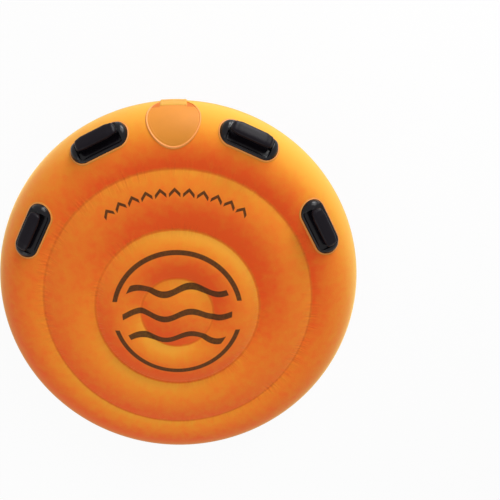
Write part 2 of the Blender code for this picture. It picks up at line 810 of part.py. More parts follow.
def make_tether(frame, ring_low):
    """The strap that ties the cap to the neck, with an eye at each end."""
    neck_eye_r = NECK_R + GAP
    neck_low = GAP + FLANGE_T + GAP + FACE_CLEAR
    knob_eye_r = KNOB_R + GAP
    low_eye = turned(
        "cap_tether",
        [
            (neck_eye_r + SEAL_W, neck_low + TETHER_T),
            (neck_eye_r + SEAL_W, neck_low),
            (neck_eye_r, neck_low),
            (neck_eye_r, neck_low + TETHER_T),
        ],
        VALVE_STEPS,
    )
    place(low_eye, WHITE, frame)
    eye_w = KNOB_HEAD_R - KNOB_R
    high_eye = turned(
        "tether_top_eye",
        [
            (knob_eye_r + eye_w, ring_low + TETHER_T),
            (knob_eye_r + eye_w, ring_low),
            (knob_eye_r, ring_low),
            (knob_eye_r, ring_low + TETHER_T),
        ],
        VALVE_STEPS,
    )
    place(high_eye, parent=frame, cutter=True)
    reach = TETHER_REACH
    start = knob_eye_r + eye_w / 2.0
    top = block(
        "tether_top",
        (TETHER_W, reach - start, TETHER_T),
        (0.0, (reach + start) / 2.0, ring_low + TETHER_T / 2.0),
    )
    height = ring_low + TETHER_T - neck_low
    side = block(
        "tether_side",
        (TETHER_W, TETHER_T, height),
        (0.0, reach - TETHER_T / 2.0, neck_low + height / 2.0),
    )
    foot_start = neck_eye_r + SEAL_W / 2.0
    foot = block(
        "tether_foot",
        (TETHER_W, reach - foot_start, TETHER_T),
        (0.0, (reach + foot_start) / 2.0, neck_low + TETHER_T / 2.0),
    )
    for piece in (high_eye, top, side, foot):
        if piece is not high_eye:
            place(piece, parent=frame, cutter=True)
        boolean(low_eye, piece, "UNION")
    return low_eye


# Assembly

def main():
    """Builds every piece."""
    _, bottom = make_sheets()
    make_rim_tape()
    names = ("outer_baffle", "middle_baffle", "centre_baffle")
    for row in zip(names, SEAM_RADII, seam_heights(), BAFFLE_STEPS, VENT_COUNTS):
        make_baffle(*row)

    weld_layer = ring_layer("weld_layer", GAP, WELD_TOP, WELD_SPAN_DEG)
    pad_layer = ring_layer("pad_layer", WELD_TOP + GAP, PAD_TOP, PAD_SPAN_DEG)
    ring_cut = ring_core("pad_core", PAD_TOP + GAP)
    for name, azimuth, section in HANDLE_PLACES_DEG:
        make_handle(name, azimuth, section, weld_layer, pad_layer, ring_cut)

    band_layer = ring_layer("band_layer", WELD_TOP + GAP, BAND_TOP, BAND_SPAN_DEG)
    bar_layer = ring_layer("bar_layer", BAND_TOP + GAP, BAND_TOP + GAP + BAR_T, BAR_SPAN_DEG)
    make_hitch(weld_layer, band_layer, bar_layer)

    flange_layer = ring_layer("flange_layer", GAP, GAP + FLANGE_T, FLANGE_SPAN_DEG)
    make_valve(bottom, flange_layer)


main()
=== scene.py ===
# %% [markdown]
# # A towable deck tube, one cell at a time
# The tube is an inflatable disc that a boat pulls. Its solid pieces come from a
# imported CAD model. This lesson dresses that model: smooth inflated skins, moulded
# handles, a tow hitch, a valve, and a finish for each. The model is loaded first.

# %% Load the solid model
import math
from functools import partialmethod

import bmesh
import bpy
import numpy as np
from mathutils import Matrix


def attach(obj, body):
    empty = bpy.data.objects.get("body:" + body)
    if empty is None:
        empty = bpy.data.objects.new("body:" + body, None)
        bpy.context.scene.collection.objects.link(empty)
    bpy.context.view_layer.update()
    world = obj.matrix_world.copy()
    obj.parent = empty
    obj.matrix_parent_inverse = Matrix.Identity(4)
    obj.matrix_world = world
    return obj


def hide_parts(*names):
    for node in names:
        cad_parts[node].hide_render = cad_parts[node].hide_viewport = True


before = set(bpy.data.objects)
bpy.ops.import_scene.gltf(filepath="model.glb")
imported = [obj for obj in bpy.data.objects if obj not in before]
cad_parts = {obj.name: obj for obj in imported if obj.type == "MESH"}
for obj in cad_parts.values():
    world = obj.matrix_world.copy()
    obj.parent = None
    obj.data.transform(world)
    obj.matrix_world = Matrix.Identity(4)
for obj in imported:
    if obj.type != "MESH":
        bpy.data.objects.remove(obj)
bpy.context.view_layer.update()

# %% [markdown]
# ## The tube's own numbers
# Every piece sits on a ring of round section, so the ring's two radii say where
# things are. The three seams are circles at which inner webs hold the deck down.
# Lengths are in metres and equal to those of the solid model. Angles are in
# degrees, and edges sharper than SHARP keep a crisp line.

# %% Sizes of the ring, the seams and the layers on the ring
RING_CENTRE_R = 0.488
RING_R = 0.122
FOOT_DEPTH = 0.0005
MID_Z = RING_R - FOOT_DEPTH
SEAM_RADII = (0.433, 0.2700, 0.1190)
SEAM_DEPTH = 0.022
LAND_W = 0.010
SHEET_T = 0.0009
GAP = 0.0003
WELD_TOP = 0.0011
PAD_TOP = 0.0044
BAND_TOP = 0.0024
BAR_TOP = 0.0067
WELD = 1e-6
SHARP = 40.0

# %% [markdown]
# ## Sums that build nodes
# A shader or a Geometry Nodes tree is a graph, and a long formula is hard to read
# there. A small class wraps one socket, and Python's operators on it add the Math
# nodes. Numbers alone stay plain Python, so the graph holds nothing it needn't.

# %% A socket that Python can add, multiply and compare
class Signal:
    """One socket of a node tree, or with no socket, the way into an empty tree."""

    def __init__(self, tree, socket=None):
        self.tree = tree
        self.socket = socket

    def node(self, kind, sockets=None, out=0, **settings):
        """Adds a node: its settings first, then the values or links of its sockets."""
        made = self.tree.nodes.new(kind)
        for key, value in settings.items():
            setattr(made, key, value)
        for key, value in (sockets or {}).items():
            if isinstance(value, Signal):
                self.tree.links.new(value.socket, made.inputs[key])
            else:
                made.inputs[key].default_value = value
        return Signal(self.tree, made.outputs[out] if made.outputs else None)

    def math(self, operation, *values):
        """A Math node over some values."""
        return self.node("ShaderNodeMath", dict(enumerate(values)), operation=operation)

    def pair(self, operation, other):
        """A Math node over this signal and another."""
        return self.math(operation, self, other)

    __add__ = __radd__ = partialmethod(pair, "ADD")
    __sub__ = partialmethod(pair, "SUBTRACT")
    __mul__ = __rmul__ = partialmethod(pair, "MULTIPLY")
    __truediv__ = partialmethod(pair, "DIVIDE")
    __mod__ = partialmethod(pair, "FLOORED_MODULO")
    __lt__ = partialmethod(pair, "LESS_THAN")
    __gt__ = partialmethod(pair, "GREATER_THAN")

    def __rsub__(self, other):
        return self.math("SUBTRACT", other, self)

    def __abs__(self):
        return self.math("ABSOLUTE", self)

    def vector(self, *numbers):
        """A vector of three numbers."""
        return self.node("ShaderNodeCombineXYZ", dict(enumerate(numbers)))

    def xyz(self):
        """The three numbers of a vector."""
        parts = self.node("ShaderNodeSeparateXYZ", {0: self}).socket.node
        return [Signal(self.tree, socket) for socket in parts.outputs]

    def mix(self, first, second):
        """A colour between two, with this socket as the share of the second."""
        sockets = {0: self, 6: first, 7: second}
        return self.node("ShaderNodeMix", sockets, 2, data_type="RGBA")

    def clamp(self, top=1.0):
        """The same signal, held between 0 and a top."""
        return self.node("ShaderNodeClamp", {0: self, 2: top})

    def step(self, edge, softness):
        """0 below an edge and 1 above it, with a soft border of a given width."""
        return ((self - edge) / softness + 0.5).clamp()

    def band(self, half, softness):
        """1 where the signal is within half a band's width of 0, with soft borders."""
        return (half - abs(self)).step(0.0, softness)


print("node sums are ready")

# %% [markdown]
# ## Finishes
# Each finish starts from one Principled shader. Values that are the same all
# over are set on its sockets, and what varies reaches Base Color, Roughness or
# a Bump node. Patterns read Object coordinates, which are metres here.

# %% The start of every finish
def finish(name, colour, roughness, **constants):
    """A material with its constants set, its first signal, and its shader."""
    made = bpy.data.materials.new(name)
    made.use_nodes = True
    shader = made.node_tree.nodes["Principled BSDF"]
    shader.inputs["Base Color"].default_value = (*colour, 1.0)
    shader.inputs["Roughness"].default_value = roughness
    for key, value in constants.items():
        shader.inputs[key.replace("_", " ")].default_value = value
    return made, Signal(made.node_tree), shader


def wire_up(start, shader, **signals):
    """Links signals to the shader's varying sockets."""
    for key, signal in signals.items():
        start.tree.links.new(signal.socket, shader.inputs[key.replace("_", " ")])


def grain(place, scale, detail=2.0, roughness=0.5):
    """Smooth random spots, so many to a metre."""
    sockets = {"Vector": place, "Scale": scale, "Detail": detail, "Roughness": roughness}
    return place.node("ShaderNodeTexNoise", sockets)


def bump(height, distance, strength=1.0):
    """Small relief from a height signal of 0 to 1."""
    sockets = {"Height": height, "Distance": distance, "Strength": strength}
    return height.node("ShaderNodeBump", sockets)


def object_place(start):
    """The place in the piece's own coordinates, in metres, and how far it is from the axis."""
    place = start.node("ShaderNodeTexCoord", out="Object")
    x, y, z = place.xyz()
    return place, x, y, z, start.math("SQRT", x * x + y * y)


# %% [markdown]
# The deck is PVC with a short flocked pile. Its tone is painted light and shade,
# picked by the surface's own direction: slopes that face +X and +Y, towards the
# lamps, are painted a lit orange, and slopes that face away a shaded red. Walls
# that face the lamps most are painted a yellow highlight. Soft blotches come from
# where the pile was brushed, and sheen makes it glow at grazing angles. The motif
# is a plain design of waves in a broken hoop, with a row of small arrows.

# %% Flocked deck
# The red and orange tones are the deck's painted shade and painted light.
SHADED_RED, LIT_ORANGE = (0.86, 0.097, 0.014, 1.0), (0.79, 0.275, 0.022, 1.0)
# The yellow tone is a painted highlight.
HIGHLIGHT_YELLOW, PRESSED_AND_SHADED = (0.80, 0.500, 0.070, 1.0), (0.42, 0.055, 0.008, 1.0)
INK, INK_EDGE = (0.045, 0.020, 0.008, 1.0), 0.0014
HOOP_R, HOOP_HALF_W, HOOP_BREAK = 0.205, 0.0075, 0.050
WAVE_LEVELS, WAVE_LENGTH, WAVE_REACH = (-0.082, 0.0, 0.082), 0.170, 0.013
WAVE_HALF_W, WAVES_R = 0.0105, 0.178
ARROW_R, ARROW_HALF_W, ARROW_REACH, ARROW_SLANT = 0.380, 0.0052, 0.0165, 0.9
ARROW_PITCH, ARROW_SPAN, ARROW_TURN_R = math.radians(6.2), math.radians(34.1), 0.372
ARROW_EDGE, ARROW_ROW_EDGE = 0.0012, 0.004
# Width, edge and share of the seams' darkening: pressed pile and painted shade in the crease.
PRESSED_SHADE_HALF_W, PRESSED_SHADE_EDGE, PRESSED_SHADE_SHARE = 0.0030, 0.0034, 0.26
CREASE_HALF_W, CREASE_EDGE, CREASE_POWER, CREASE_GAIN = 0.014, 0.040, 6.0, 1.6
LIGHT_FACING, PILE_BLOTCH, LIT_LEVEL, PILE_RELIEF = (0.60, 1.38), 0.9, 0.42, 0.12
HIGHLIGHT_FACING, HIGHLIGHT_FROM, HIGHLIGHT_GAIN, HIGHLIGHT_TOP = (0.55, 1.10), 0.30, 0.85, 0.65
INK_SPOTS, INK_BODY = 0.25, 0.80


def deck_ink(place, x, y, radius):
    """Waves in a broken hoop and a row of small arrows, with thin spots in the ink."""
    hoop = (radius - HOOP_R).band(HOOP_HALF_W, INK_EDGE)
    hoop = hoop * (abs(y) - HOOP_BREAK).step(0.0, INK_EDGE)
    bend = x.math("SINE", x * (math.tau / WAVE_LENGTH)) * WAVE_REACH
    waves = sum((y - bend - level).band(WAVE_HALF_W, INK_EDGE) for level in WAVE_LEVELS)
    waves = waves * (WAVES_R - radius).step(0.0, INK_EDGE)
    turn = x.math("ARCTAN2", x, y)
    middle = ARROW_PITCH / 2.0
    near = abs((turn + middle) % ARROW_PITCH - middle) * ARROW_TURN_R
    arrow = (radius - ARROW_R + near * ARROW_SLANT).band(ARROW_HALF_W, ARROW_EDGE)
    arrow = arrow * (ARROW_REACH - near).step(0.0, ARROW_EDGE)
    ink = (hoop + waves + arrow * turn.band(ARROW_SPAN, ARROW_ROW_EDGE)).clamp()
    return (grain(place, 120.0, 3.0, 0.7) * INK_SPOTS + INK_BODY) * ink


def flocked_deck():
    """Short pile with painted light, shade and highlight by its direction, pressed flat at the
    seams and painted darker there as shade, creased beside them, with the motif.
    """
    made, start, shader = finish(
        "flocked_orange", (0.78, 0.160, 0.014), 0.92,
        Sheen_Weight=0.95, Sheen_Roughness=0.42, Sheen_Tint=(1.0, 0.82, 0.32, 1.0),
        Specular_IOR_Level=0.12,
    )
    place, x, y, _, radius = object_place(start)
    # Painted light and shade: the surface's direction mixes a lit orange for slopes facing +X
    # and +Y, towards the lamps, with a shaded red for slopes facing away, and random blotches
    # vary the mix.
    normal_x, normal_y, normal_z = start.node("ShaderNodeTexCoord", out="Normal").xyz()
    blotch = grain(place, 34.0, 4.0, 0.65) - 0.5
    lit_and_blotch = (normal_x * LIGHT_FACING[0] + normal_y * LIGHT_FACING[1]) * normal_z
    lit_and_blotch = (lit_and_blotch + blotch * PILE_BLOTCH + LIT_LEVEL).clamp()
    # Painted highlight: walls that face the lamps at +X and +Y most are painted yellow.
    highlight = normal_x * HIGHLIGHT_FACING[0] + normal_y * HIGHLIGHT_FACING[1] - HIGHLIGHT_FROM
    highlight = (highlight * HIGHLIGHT_GAIN).clamp(HIGHLIGHT_TOP)
    tone = highlight.mix(lit_and_blotch.mix(SHADED_RED, LIT_ORANGE), HIGHLIGHT_YELLOW)
    # The seams are painted darker: partly the pile pressed flat in the weld, partly painted
    # shade in the seam's crease.
    pressed_and_shade = sum((radius - seam).band(PRESSED_SHADE_HALF_W, PRESSED_SHADE_EDGE) for seam in SEAM_RADII)
    tone = (pressed_and_shade * PRESSED_SHADE_SHARE).mix(tone, PRESSED_AND_SHADED)
    colour = deck_ink(place, x, y, radius).mix(tone, INK)
    around = start.vector(x / radius, y / radius, radius * 0.25)
    folds = 1.0 - abs(grain(around, 24.0, 2.0, 0.5) - 0.5) * 2.0
    beside = sum((radius - seam).band(CREASE_HALF_W, CREASE_EDGE) for seam in SEAM_RADII[:2])
    creases = start.math("POWER", folds, CREASE_POWER) * beside * grain(place, 9.0) * CREASE_GAIN
    relief = grain(place, 260.0, 2.0, 0.6) * PILE_RELIEF + creases
    wire_up(start, shader, Base_Color=colour, Normal=bump(relief, 0.0040, 0.6))
    return made


# %% Printed underside
OLIVE, BLACK = (0.055, 0.060, 0.022, 1.0), (0.012, 0.011, 0.010, 1.0)
CHECK_ORANGE = (0.76, 0.185, 0.02, 1.0)
STRIPE_ORANGE, STRIPE_BLACK = (0.78, 0.20, 0.022, 1.0), (0.03, 0.025, 0.02, 1.0)
CHECKS_ROUND, FIELDS_ROUND, FIELD_HALF_W, FIELD_EDGE = 36.0, 3.0, 0.26, 0.002
FLAT_R, FLAT_ROWS, WALL_ROWS = 0.36, 22.0, -3.4
STRIPE_PITCH, STRIPE_ROW, STRIPE_WAVES, STRIPE_SWAY = 0.0065, 0.045, 9.0, 0.012


def printed_underside():
    """A glossy print of checked and pinstriped fields, three of each round the tube."""
    made, start, shader = finish(
        "printed_orange", (0.74, 0.17, 0.018), 0.28,
        Specular_IOR_Level=0.28, Coat_Weight=0.06, Coat_Roughness=0.12,
    )
    place, x, y, z, radius = object_place(start)
    turn = start.math("ARCTAN2", y, x)
    section = start.math("ARCTAN2", z - MID_Z, radius - RING_CENTRE_R)
    flat, wall = radius * FLAT_ROWS, section * WALL_ROWS
    row = (radius < FLAT_R) * flat + (radius > FLAT_R) * wall
    across = start.math("FLOOR", turn * (CHECKS_ROUND / math.tau) + row * 0.5)
    rows = start.math("FLOOR", row)
    dark = ((across * 2.0 + rows) % 3.0 > 1.5).mix(OLIVE, BLACK)
    checks = ((across + rows) % 2.0).mix(CHECK_ORANGE, dark)
    sway = start.math("SINE", turn * STRIPE_WAVES) * STRIPE_SWAY
    lines = start.math("SINE", (row * STRIPE_ROW + sway) * (math.tau / STRIPE_PITCH))
    stripes = lines.step(0.25, 0.5).mix(STRIPE_ORANGE, STRIPE_BLACK)
    field = ((turn / math.tau * FIELDS_ROUND + 0.5) % 1.0 - 0.5).band(FIELD_HALF_W, FIELD_EDGE)
    wire_up(
        start, shader, Base_Color=field.mix(stripes, checks),
        Roughness=grain(place, 30.0, 2.0) * 0.12 + 0.16,
        Normal=bump(grain(place, 55.0, 3.0), 0.0010, 0.35),
    )
    return made


# %% [markdown]
# The other finishes are plain plastics, webbing, steel and rubber. Each still
# has what the eye expects of it: an even fine texture in moulded PVC, a weave in
# the webbing, fine drawing lines along the wire.

# %% Plastics, webbing, steel and rubber
DEEPER, GLOSS_SPREAD = 0.86, 0.10
WARP_PITCH, WEFT_PITCH = 0.0016, 0.0022


def plastic(name, colour, roughness, spots, relief, marks=(), **constants):
    """Plastic with a fine texture, slight changes of gloss, and colours for marked places."""
    made, start, shader = finish(name, colour, roughness, **constants)
    place = object_place(start)[0]
    slow = grain(place, 28.0, 2.0)
    deep = tuple(value * DEEPER for value in colour)
    tone = slow.mix((*deep, 1.0), (*colour, 1.0))
    for key, other in marks:
        marked = start.node("ShaderNodeAttribute", out=2, attribute_name=key)
        tone = marked.mix(tone, (*other, 1.0))
    wire_up(
        start, shader, Base_Color=tone,
        Roughness=slow * GLOSS_SPREAD + (roughness - GLOSS_SPREAD / 2.0),
        Normal=bump(grain(place, spots, 2.0), relief, 0.5),
    )
    return made


def woven():
    """Plain-weave webbing: two families of threads crossing at a slant."""
    made, start, shader = finish("grey_webbing", (0.09, 0.10, 0.13), 0.82, Sheen_Weight=0.2)
    _, x, y, z, _ = object_place(start)
    warp = start.math("SINE", x * (math.tau / WARP_PITCH))
    weft = start.math("SINE", (z + y) * (math.tau / WEFT_PITCH))
    weave = warp * weft * 0.5 + 0.5
    tone = weave.mix((0.055, 0.062, 0.085, 1.0), (0.16, 0.175, 0.21, 1.0))
    wire_up(start, shader, Base_Color=tone, Normal=bump(weave, 0.0005, 0.9))
    return made


def drawn_steel():
    """Polished wire with faint scratches."""
    made, start, shader = finish("polished_steel", (0.62, 0.63, 0.65), 0.16, Metallic=1.0)
    marks = grain(object_place(start)[0], 900.0, 3.0, 0.7)
    wire_up(start, shader, Roughness=marks * 0.20 + 0.08, Normal=bump(marks, 0.0001, 0.3))
    return made


finishes = {
    "flocked_deck": flocked_deck(),
    "printed_underside": printed_underside(),
    "smooth_orange_pvc": plastic(
        "smooth_orange", (0.70, 0.248, 0.024), 0.50, 240.0, 0.0002,
        # The second mark is painted shade in two corners of the round patch beside the band.
        marks=(("weld", (0.95, 0.350, 0.105)), ("corner_shade", (0.58, 0.140, 0.006))),
        Specular_IOR_Level=0.25,
    ),
    "moulded_black": plastic(
        "glossy_black", (0.005, 0.004, 0.006), 0.20, 420.0, 0.00008, Specular_IOR_Level=0.20,
    ),
    "grip_black": plastic(
        "soft_black", (0.006, 0.004, 0.007), 0.36, 900.0, 0.00012, Specular_IOR_Level=0.11,
    ),
    "clear_pvc": plastic(
        "clear_bar", (0.90, 0.86, 0.84), 0.10, 200.0, 0.0001, Transmission_Weight=0.85, IOR=1.40,
    ),
    "baffle_pvc": plastic("web_pvc", (0.60, 0.26, 0.10), 0.5, 300.0, 0.0001),
    "valve_white": plastic(
        "valve_plastic", (0.80, 0.80, 0.78), 0.28, 500.0, 0.00005, Subsurface_Weight=0.05,
    ),
    "valve_rubber": plastic("valve_rubber", (0.20, 0.20, 0.20), 0.62, 800.0, 0.0001),
    "webbing": woven(),
    "stainless": drawn_steel(),
}
band_finish = plastic(
    "smooth_amber", (0.68, 0.340, 0.045), 0.55, 240.0, 0.0002, Specular_IOR_Level=0.25,
)
thread_finish = plastic(
    "pale_thread", (0.42, 0.43, 0.46), 0.70, 900.0, 0.0001, Sheen_Weight=0.3,
)
print("finishes:", ", ".join(finishes))

# %% [markdown]
# ## Meshes from rings of points
# Most pieces here are tubes, discs or plates. A skin stretched over a row of
# closed outlines makes all of the tubes and turned parts, and a slab between two
# sheets of points makes the plates. Both weld their doubles and then turn their
# faces outwards, so poles and seams are closed.

# %% Skins and slabs
def added(name, data):
    """An object in the scene for a mesh, a curve, a light or a camera."""
    made = bpy.data.objects.new(name, data)
    bpy.context.scene.collection.objects.link(made)
    return made


def smooth_to(mesh, sharp):
    """Smooth shading up to an angle in degrees."""
    mesh.shade_smooth()
    mesh.set_sharp_from_angle(angle=math.radians(sharp))


def mesh_piece(name, points, faces, sharp=SHARP, marks=None):
    """A welded object with outward faces, smooth up to an angle in degrees."""
    mesh = bpy.data.meshes.new(name)
    mesh.from_pydata(np.asarray(points, float).reshape(-1, 3).tolist(), [], faces)
    for key, values in (marks or {}).items():
        mesh.attributes.new(key, "FLOAT", "POINT").data.foreach_set("value", values)
    work = bmesh.new()
    work.from_mesh(mesh)
    bmesh.ops.remove_doubles(work, verts=work.verts, dist=WELD)
    bmesh.ops.recalc_face_normals(work, faces=work.faces)
    work.to_mesh(mesh)
    work.free()
    smooth_to(mesh, sharp)
    return added(name, mesh)


def lattice(rows, columns, start=0, wrap_rows=False, wrap_columns=False):
    """Faces of a grid of points that runs row by row."""
    grid = start + np.arange(rows * columns).reshape(rows, columns)
    if wrap_rows:
        grid = np.concatenate([grid, grid[:1]])
    if wrap_columns:
        grid = np.concatenate([grid, grid[:, :1]], 1)
    corners = grid[:-1, :-1], grid[:-1, 1:], grid[1:, 1:], grid[1:, :-1]
    return np.stack(corners, -1).reshape(-1, 4).tolist()


def skin(name, outlines, loop=False, sharp=SHARP):
    """A skin over closed outlines: a closed loop of them, or one with two capped ends."""
    outlines = np.asarray(outlines, float)
    count, sides = outlines.shape[:2]
    faces = lattice(count, sides, 0, loop, True)
    if not loop:
        faces.append(tuple(range(sides)))
        faces.append(tuple((count - 1) * sides + j for j in range(sides)))
    return mesh_piece(name, outlines, faces, sharp)


def slab(name, top, low, **marks):
    """A plate between two grids of points, with a wall round its edge and marks on its top."""
    rows, columns = top.shape[:2]
    size = rows * columns
    faces = lattice(rows, columns) + lattice(rows, columns, size)
    grid = np.arange(size).reshape(rows, columns)
    edge = np.concatenate([grid[0], grid[1:, -1], grid[-1, -2::-1], grid[-2:0:-1, 0]]).tolist()
    for a, b in zip(edge, edge[1:] + edge[:1]):
        faces.append((a, b, size + b, size + a))
    blank = np.zeros(size)
    marks = {key: np.concatenate([values.ravel(), blank]) for key, values in marks.items()}
    points = np.concatenate([top.reshape(-1, 3), low.reshape(-1, 3)])
    return mesh_piece(name, points, faces, marks=marks)


def baked(obj):
    """The object's evaluated mesh in place of its modifiers."""
    graph = bpy.context.evaluated_depsgraph_get()
    mesh = bpy.data.meshes.new_from_object(obj.evaluated_get(graph))
    obj.modifiers.clear()
    obj.data = mesh
    return obj


def cut(obj, tool, operation="DIFFERENCE"):
    """An exact Boolean with a tool that is then thrown away."""
    boolean = obj.modifiers.new("cut", "BOOLEAN")
    boolean.solver = "EXACT"
    boolean.operation = operation
    boolean.object = tool
    baked(obj)
    bpy.data.objects.remove(tool, do_unlink=True)
    smooth_to(obj.data, SHARP)
    return obj


def directions(path, loop=False):
    """Unit steps along an open or closed path."""
    ahead = np.roll(path, -1, 0) - np.roll(path, 1, 0) if loop else np.gradient(path, axis=0)
    return ahead / np.linalg.norm(ahead, axis=1)[:, None]


def bead(depth, middle, width):
    """A smooth ridge of height 1 at a depth inside an edge."""
    return np.exp(-((depth - middle) / width) ** 2)


def circle(steps):
    """Cosines and sines of angles spaced evenly round a circle."""
    turn = np.linspace(0.0, math.tau, steps, endpoint=False)
    return np.cos(turn), np.sin(turn)


print("mesh tools are ready")

# %% [markdown]
# ## Places on the ring
# A patch or a handle lies on a doubly curved surface. One way is a Shrinkwrap
# modifier. Here each point is found by halving: it moves along its own frame's
# upright until it stands at the wanted height over the ring, which is exact and
# gives the underside of a plate as easily as its top.

# %% Frames on the ring and points over it
def ring_frame(azimuth, section):
    """X runs along the ring, Y across it and Z out of it. Returns origin and axes."""
    az, up = math.radians(azimuth), math.radians(section)
    out = np.array([math.cos(az) * math.cos(up), math.sin(az) * math.cos(up), math.sin(up)])
    along = np.array([-math.sin(az), math.cos(az), 0.0])
    centre = np.array([RING_CENTRE_R * math.cos(az), RING_CENTRE_R * math.sin(az), MID_Z])
    return centre + out * RING_R, np.array([along, np.cross(out, along), out])


def placed(place, x, y, z):
    """Points of a frame, in the tube's coordinates."""
    origin, axes = place
    x, y, z = np.broadcast_arrays(x, y, z)
    return origin + np.stack([x, y, z], -1) @ axes


LIFT_LOW, LIFT_HIGH, LIFT_HALVINGS = -RING_R, 0.04, 45


def lift_on_ring(place, x, y, height):
    """How far up a frame's Z a point stands at a height over the ring."""
    x, y, height = np.broadcast_arrays(x, y, height)
    low, high = np.full(x.shape, LIFT_LOW), np.full(x.shape, LIFT_HIGH)
    for _ in range(LIFT_HALVINGS):
        middle = (low + high) / 2.0
        at = placed(place, x, y, middle)
        outwards = np.hypot(at[..., 0], at[..., 1]) - RING_CENTRE_R
        inside = np.hypot(outwards, at[..., 2] - MID_Z) - RING_R < height
        low, high = np.where(inside, middle, low), np.where(inside, high, middle)
    return middle


def on_ring(place, x, y, height):
    """Points over (x, y) of a frame, at a height over the ring."""
    return placed(place, x, y, lift_on_ring(place, x, y, height))


def plate(name, place, x, y, height, low=GAP, **marks):
    """A plate on the ring, from a height over it down to a lower one."""
    return slab(name, on_ring(place, x, y, height), on_ring(place, x, y, low), **marks)


def pill_grid(length, width, columns, rows):
    """Points (x, y) that fill a bar with round ends, closer together at its edge."""
    reach, half = (length - width) / 2.0, width / 2.0
    turn = np.linspace(0.0, math.pi / 2.0, columns)
    end = reach + half * np.sin(turn)
    straight = np.linspace(-reach, reach, 2 * columns)[1:-1]
    x = np.concatenate([-end[::-1], straight, end])
    over = np.clip((np.abs(x) - reach) / half, 0.0, 1.0)
    y_edge = half * np.sqrt(np.maximum(1.0 - over ** 2, 0.0))
    share = np.sin(np.linspace(-math.pi / 2.0, math.pi / 2.0, rows))
    return np.repeat(x[:, None], rows, 1), y_edge[:, None] * share[None, :]


def pill_depth(x, y, length, width):
    """How far inside a bar with round ends a point lies."""
    reach = (length - width) / 2.0
    over = np.maximum(np.abs(x) - reach, 0.0)
    return np.maximum(width / 2.0 - np.hypot(over, y), 0.0)


def rounded(depth, radius):
    """Height share of a plate whose top edge is rounded, from its depth inside."""
    near = np.clip(1.0 - depth / radius, 0.0, 1.0)
    return np.sqrt(1.0 - near ** 2)


def welded(depth, edge_r, raised):
    """Height of a welded patch: flat with a rounded edge, and what is raised on it."""
    return GAP + (WELD_TOP - GAP) * rounded(depth, edge_r) + raised


print("the ring's own frames are ready")

# %% [markdown]
# ## The camera
# The photograph looks down at the deck from a little in front of it, with a wide
# lens near by. The place, the lens and the shift were fitted to the outline and
# the three seam circles.

# %% Camera
lens = bpy.data.cameras.new("camera")
lens.lens = 24.106
lens.sensor_width = 36.0
lens.shift_x = 0.1396
lens.shift_y = 0.1522
camera = added("camera", lens)
eye = np.array([0.0269, 0.4080, 1.2497])
matrix = np.eye(4)
matrix[:3, 0] = (0.99983, -0.01512, -0.01083)
matrix[:3, 1] = (0.00946, 0.91486, -0.40365)
matrix[:3, 2] = (0.01601, 0.40348, 0.91485)
matrix[:3, 3] = eye
camera.matrix_world = Matrix(matrix)
bpy.context.scene.camera = camera
print("camera stands", round(float(np.linalg.norm(eye)), 3), "m from the tube's foot")

# %% [markdown]
# ## The skins' profile
# Air pushes each sheet into arcs: a round ring, then two channels and a middle,
# each held down at a seam. The profile is one line of points from the rim to the
# axis. Each point also carries how much the sheet puckers there, because welded
# PVC gathers into short creases beside its seams and along its rim.

# %% One fine profile, with pucker strength and outward direction
RIM_TURNS, RIM_END = (0.07, 0.5, 1.0, 1.6, 2.4, 3.4), 5.0
RIM_PINCH, RIM_PINCH_H = 0.0016, 0.0032
LAND_DIPS = ((0.9, 0.0002), (0.35, 0.0007), (0.0, 0.0009))
RING_POINTS, CREST_POINTS, MIDDLE_POINTS = 52, 26, 24
RIM_PUCKER, RIM_PUCKER_H = 0.9, 0.016
SEAM_PUCKERS, SEAM_PUCKER_W, SEAMS_ABOVE_H = (0.55, 0.75, 0.55), 0.014, 0.05
SEAM_CALM, SEAM_CALM_W, CRISP_SHARE, HALVINGS = 0.15, 0.004, 0.0025, 80


def crowded(count):
    """Shares from 0 to 1 that stand close together at both ends, so creases stay crisp."""
    even = (1.0 - np.cos(np.linspace(0.0, math.pi, count))) / 2.0
    return np.unique(np.concatenate([even, [CRISP_SHARE, 1.0 - CRISP_SHARE]]))


def crest(r_out, h_out, r_in, h_in, count):
    """An arc through two seams that touches the crest's height between them."""
    drops = (RING_R - h_out, RING_R - h_in)
    width = r_out - r_in
    low, high = max(drops), max(drops) + width ** 2 / min(drops)
    for _ in range(HALVINGS):
        radius = (low + high) / 2.0
        span = sum(math.sqrt(2.0 * radius * d - d * d) for d in drops)
        low, high = (radius, high) if span < width else (low, radius)
    centre_h = RING_R - radius
    centre_r = r_out - math.sqrt(radius ** 2 - (h_out - centre_h) ** 2)
    start = math.acos((r_out - centre_r) / radius)
    end = math.acos((r_in - centre_r) / radius)
    turn = start + (end - start) * crowded(count)
    return np.stack([centre_r + radius * np.cos(turn), centre_h + radius * np.sin(turn)], 1)


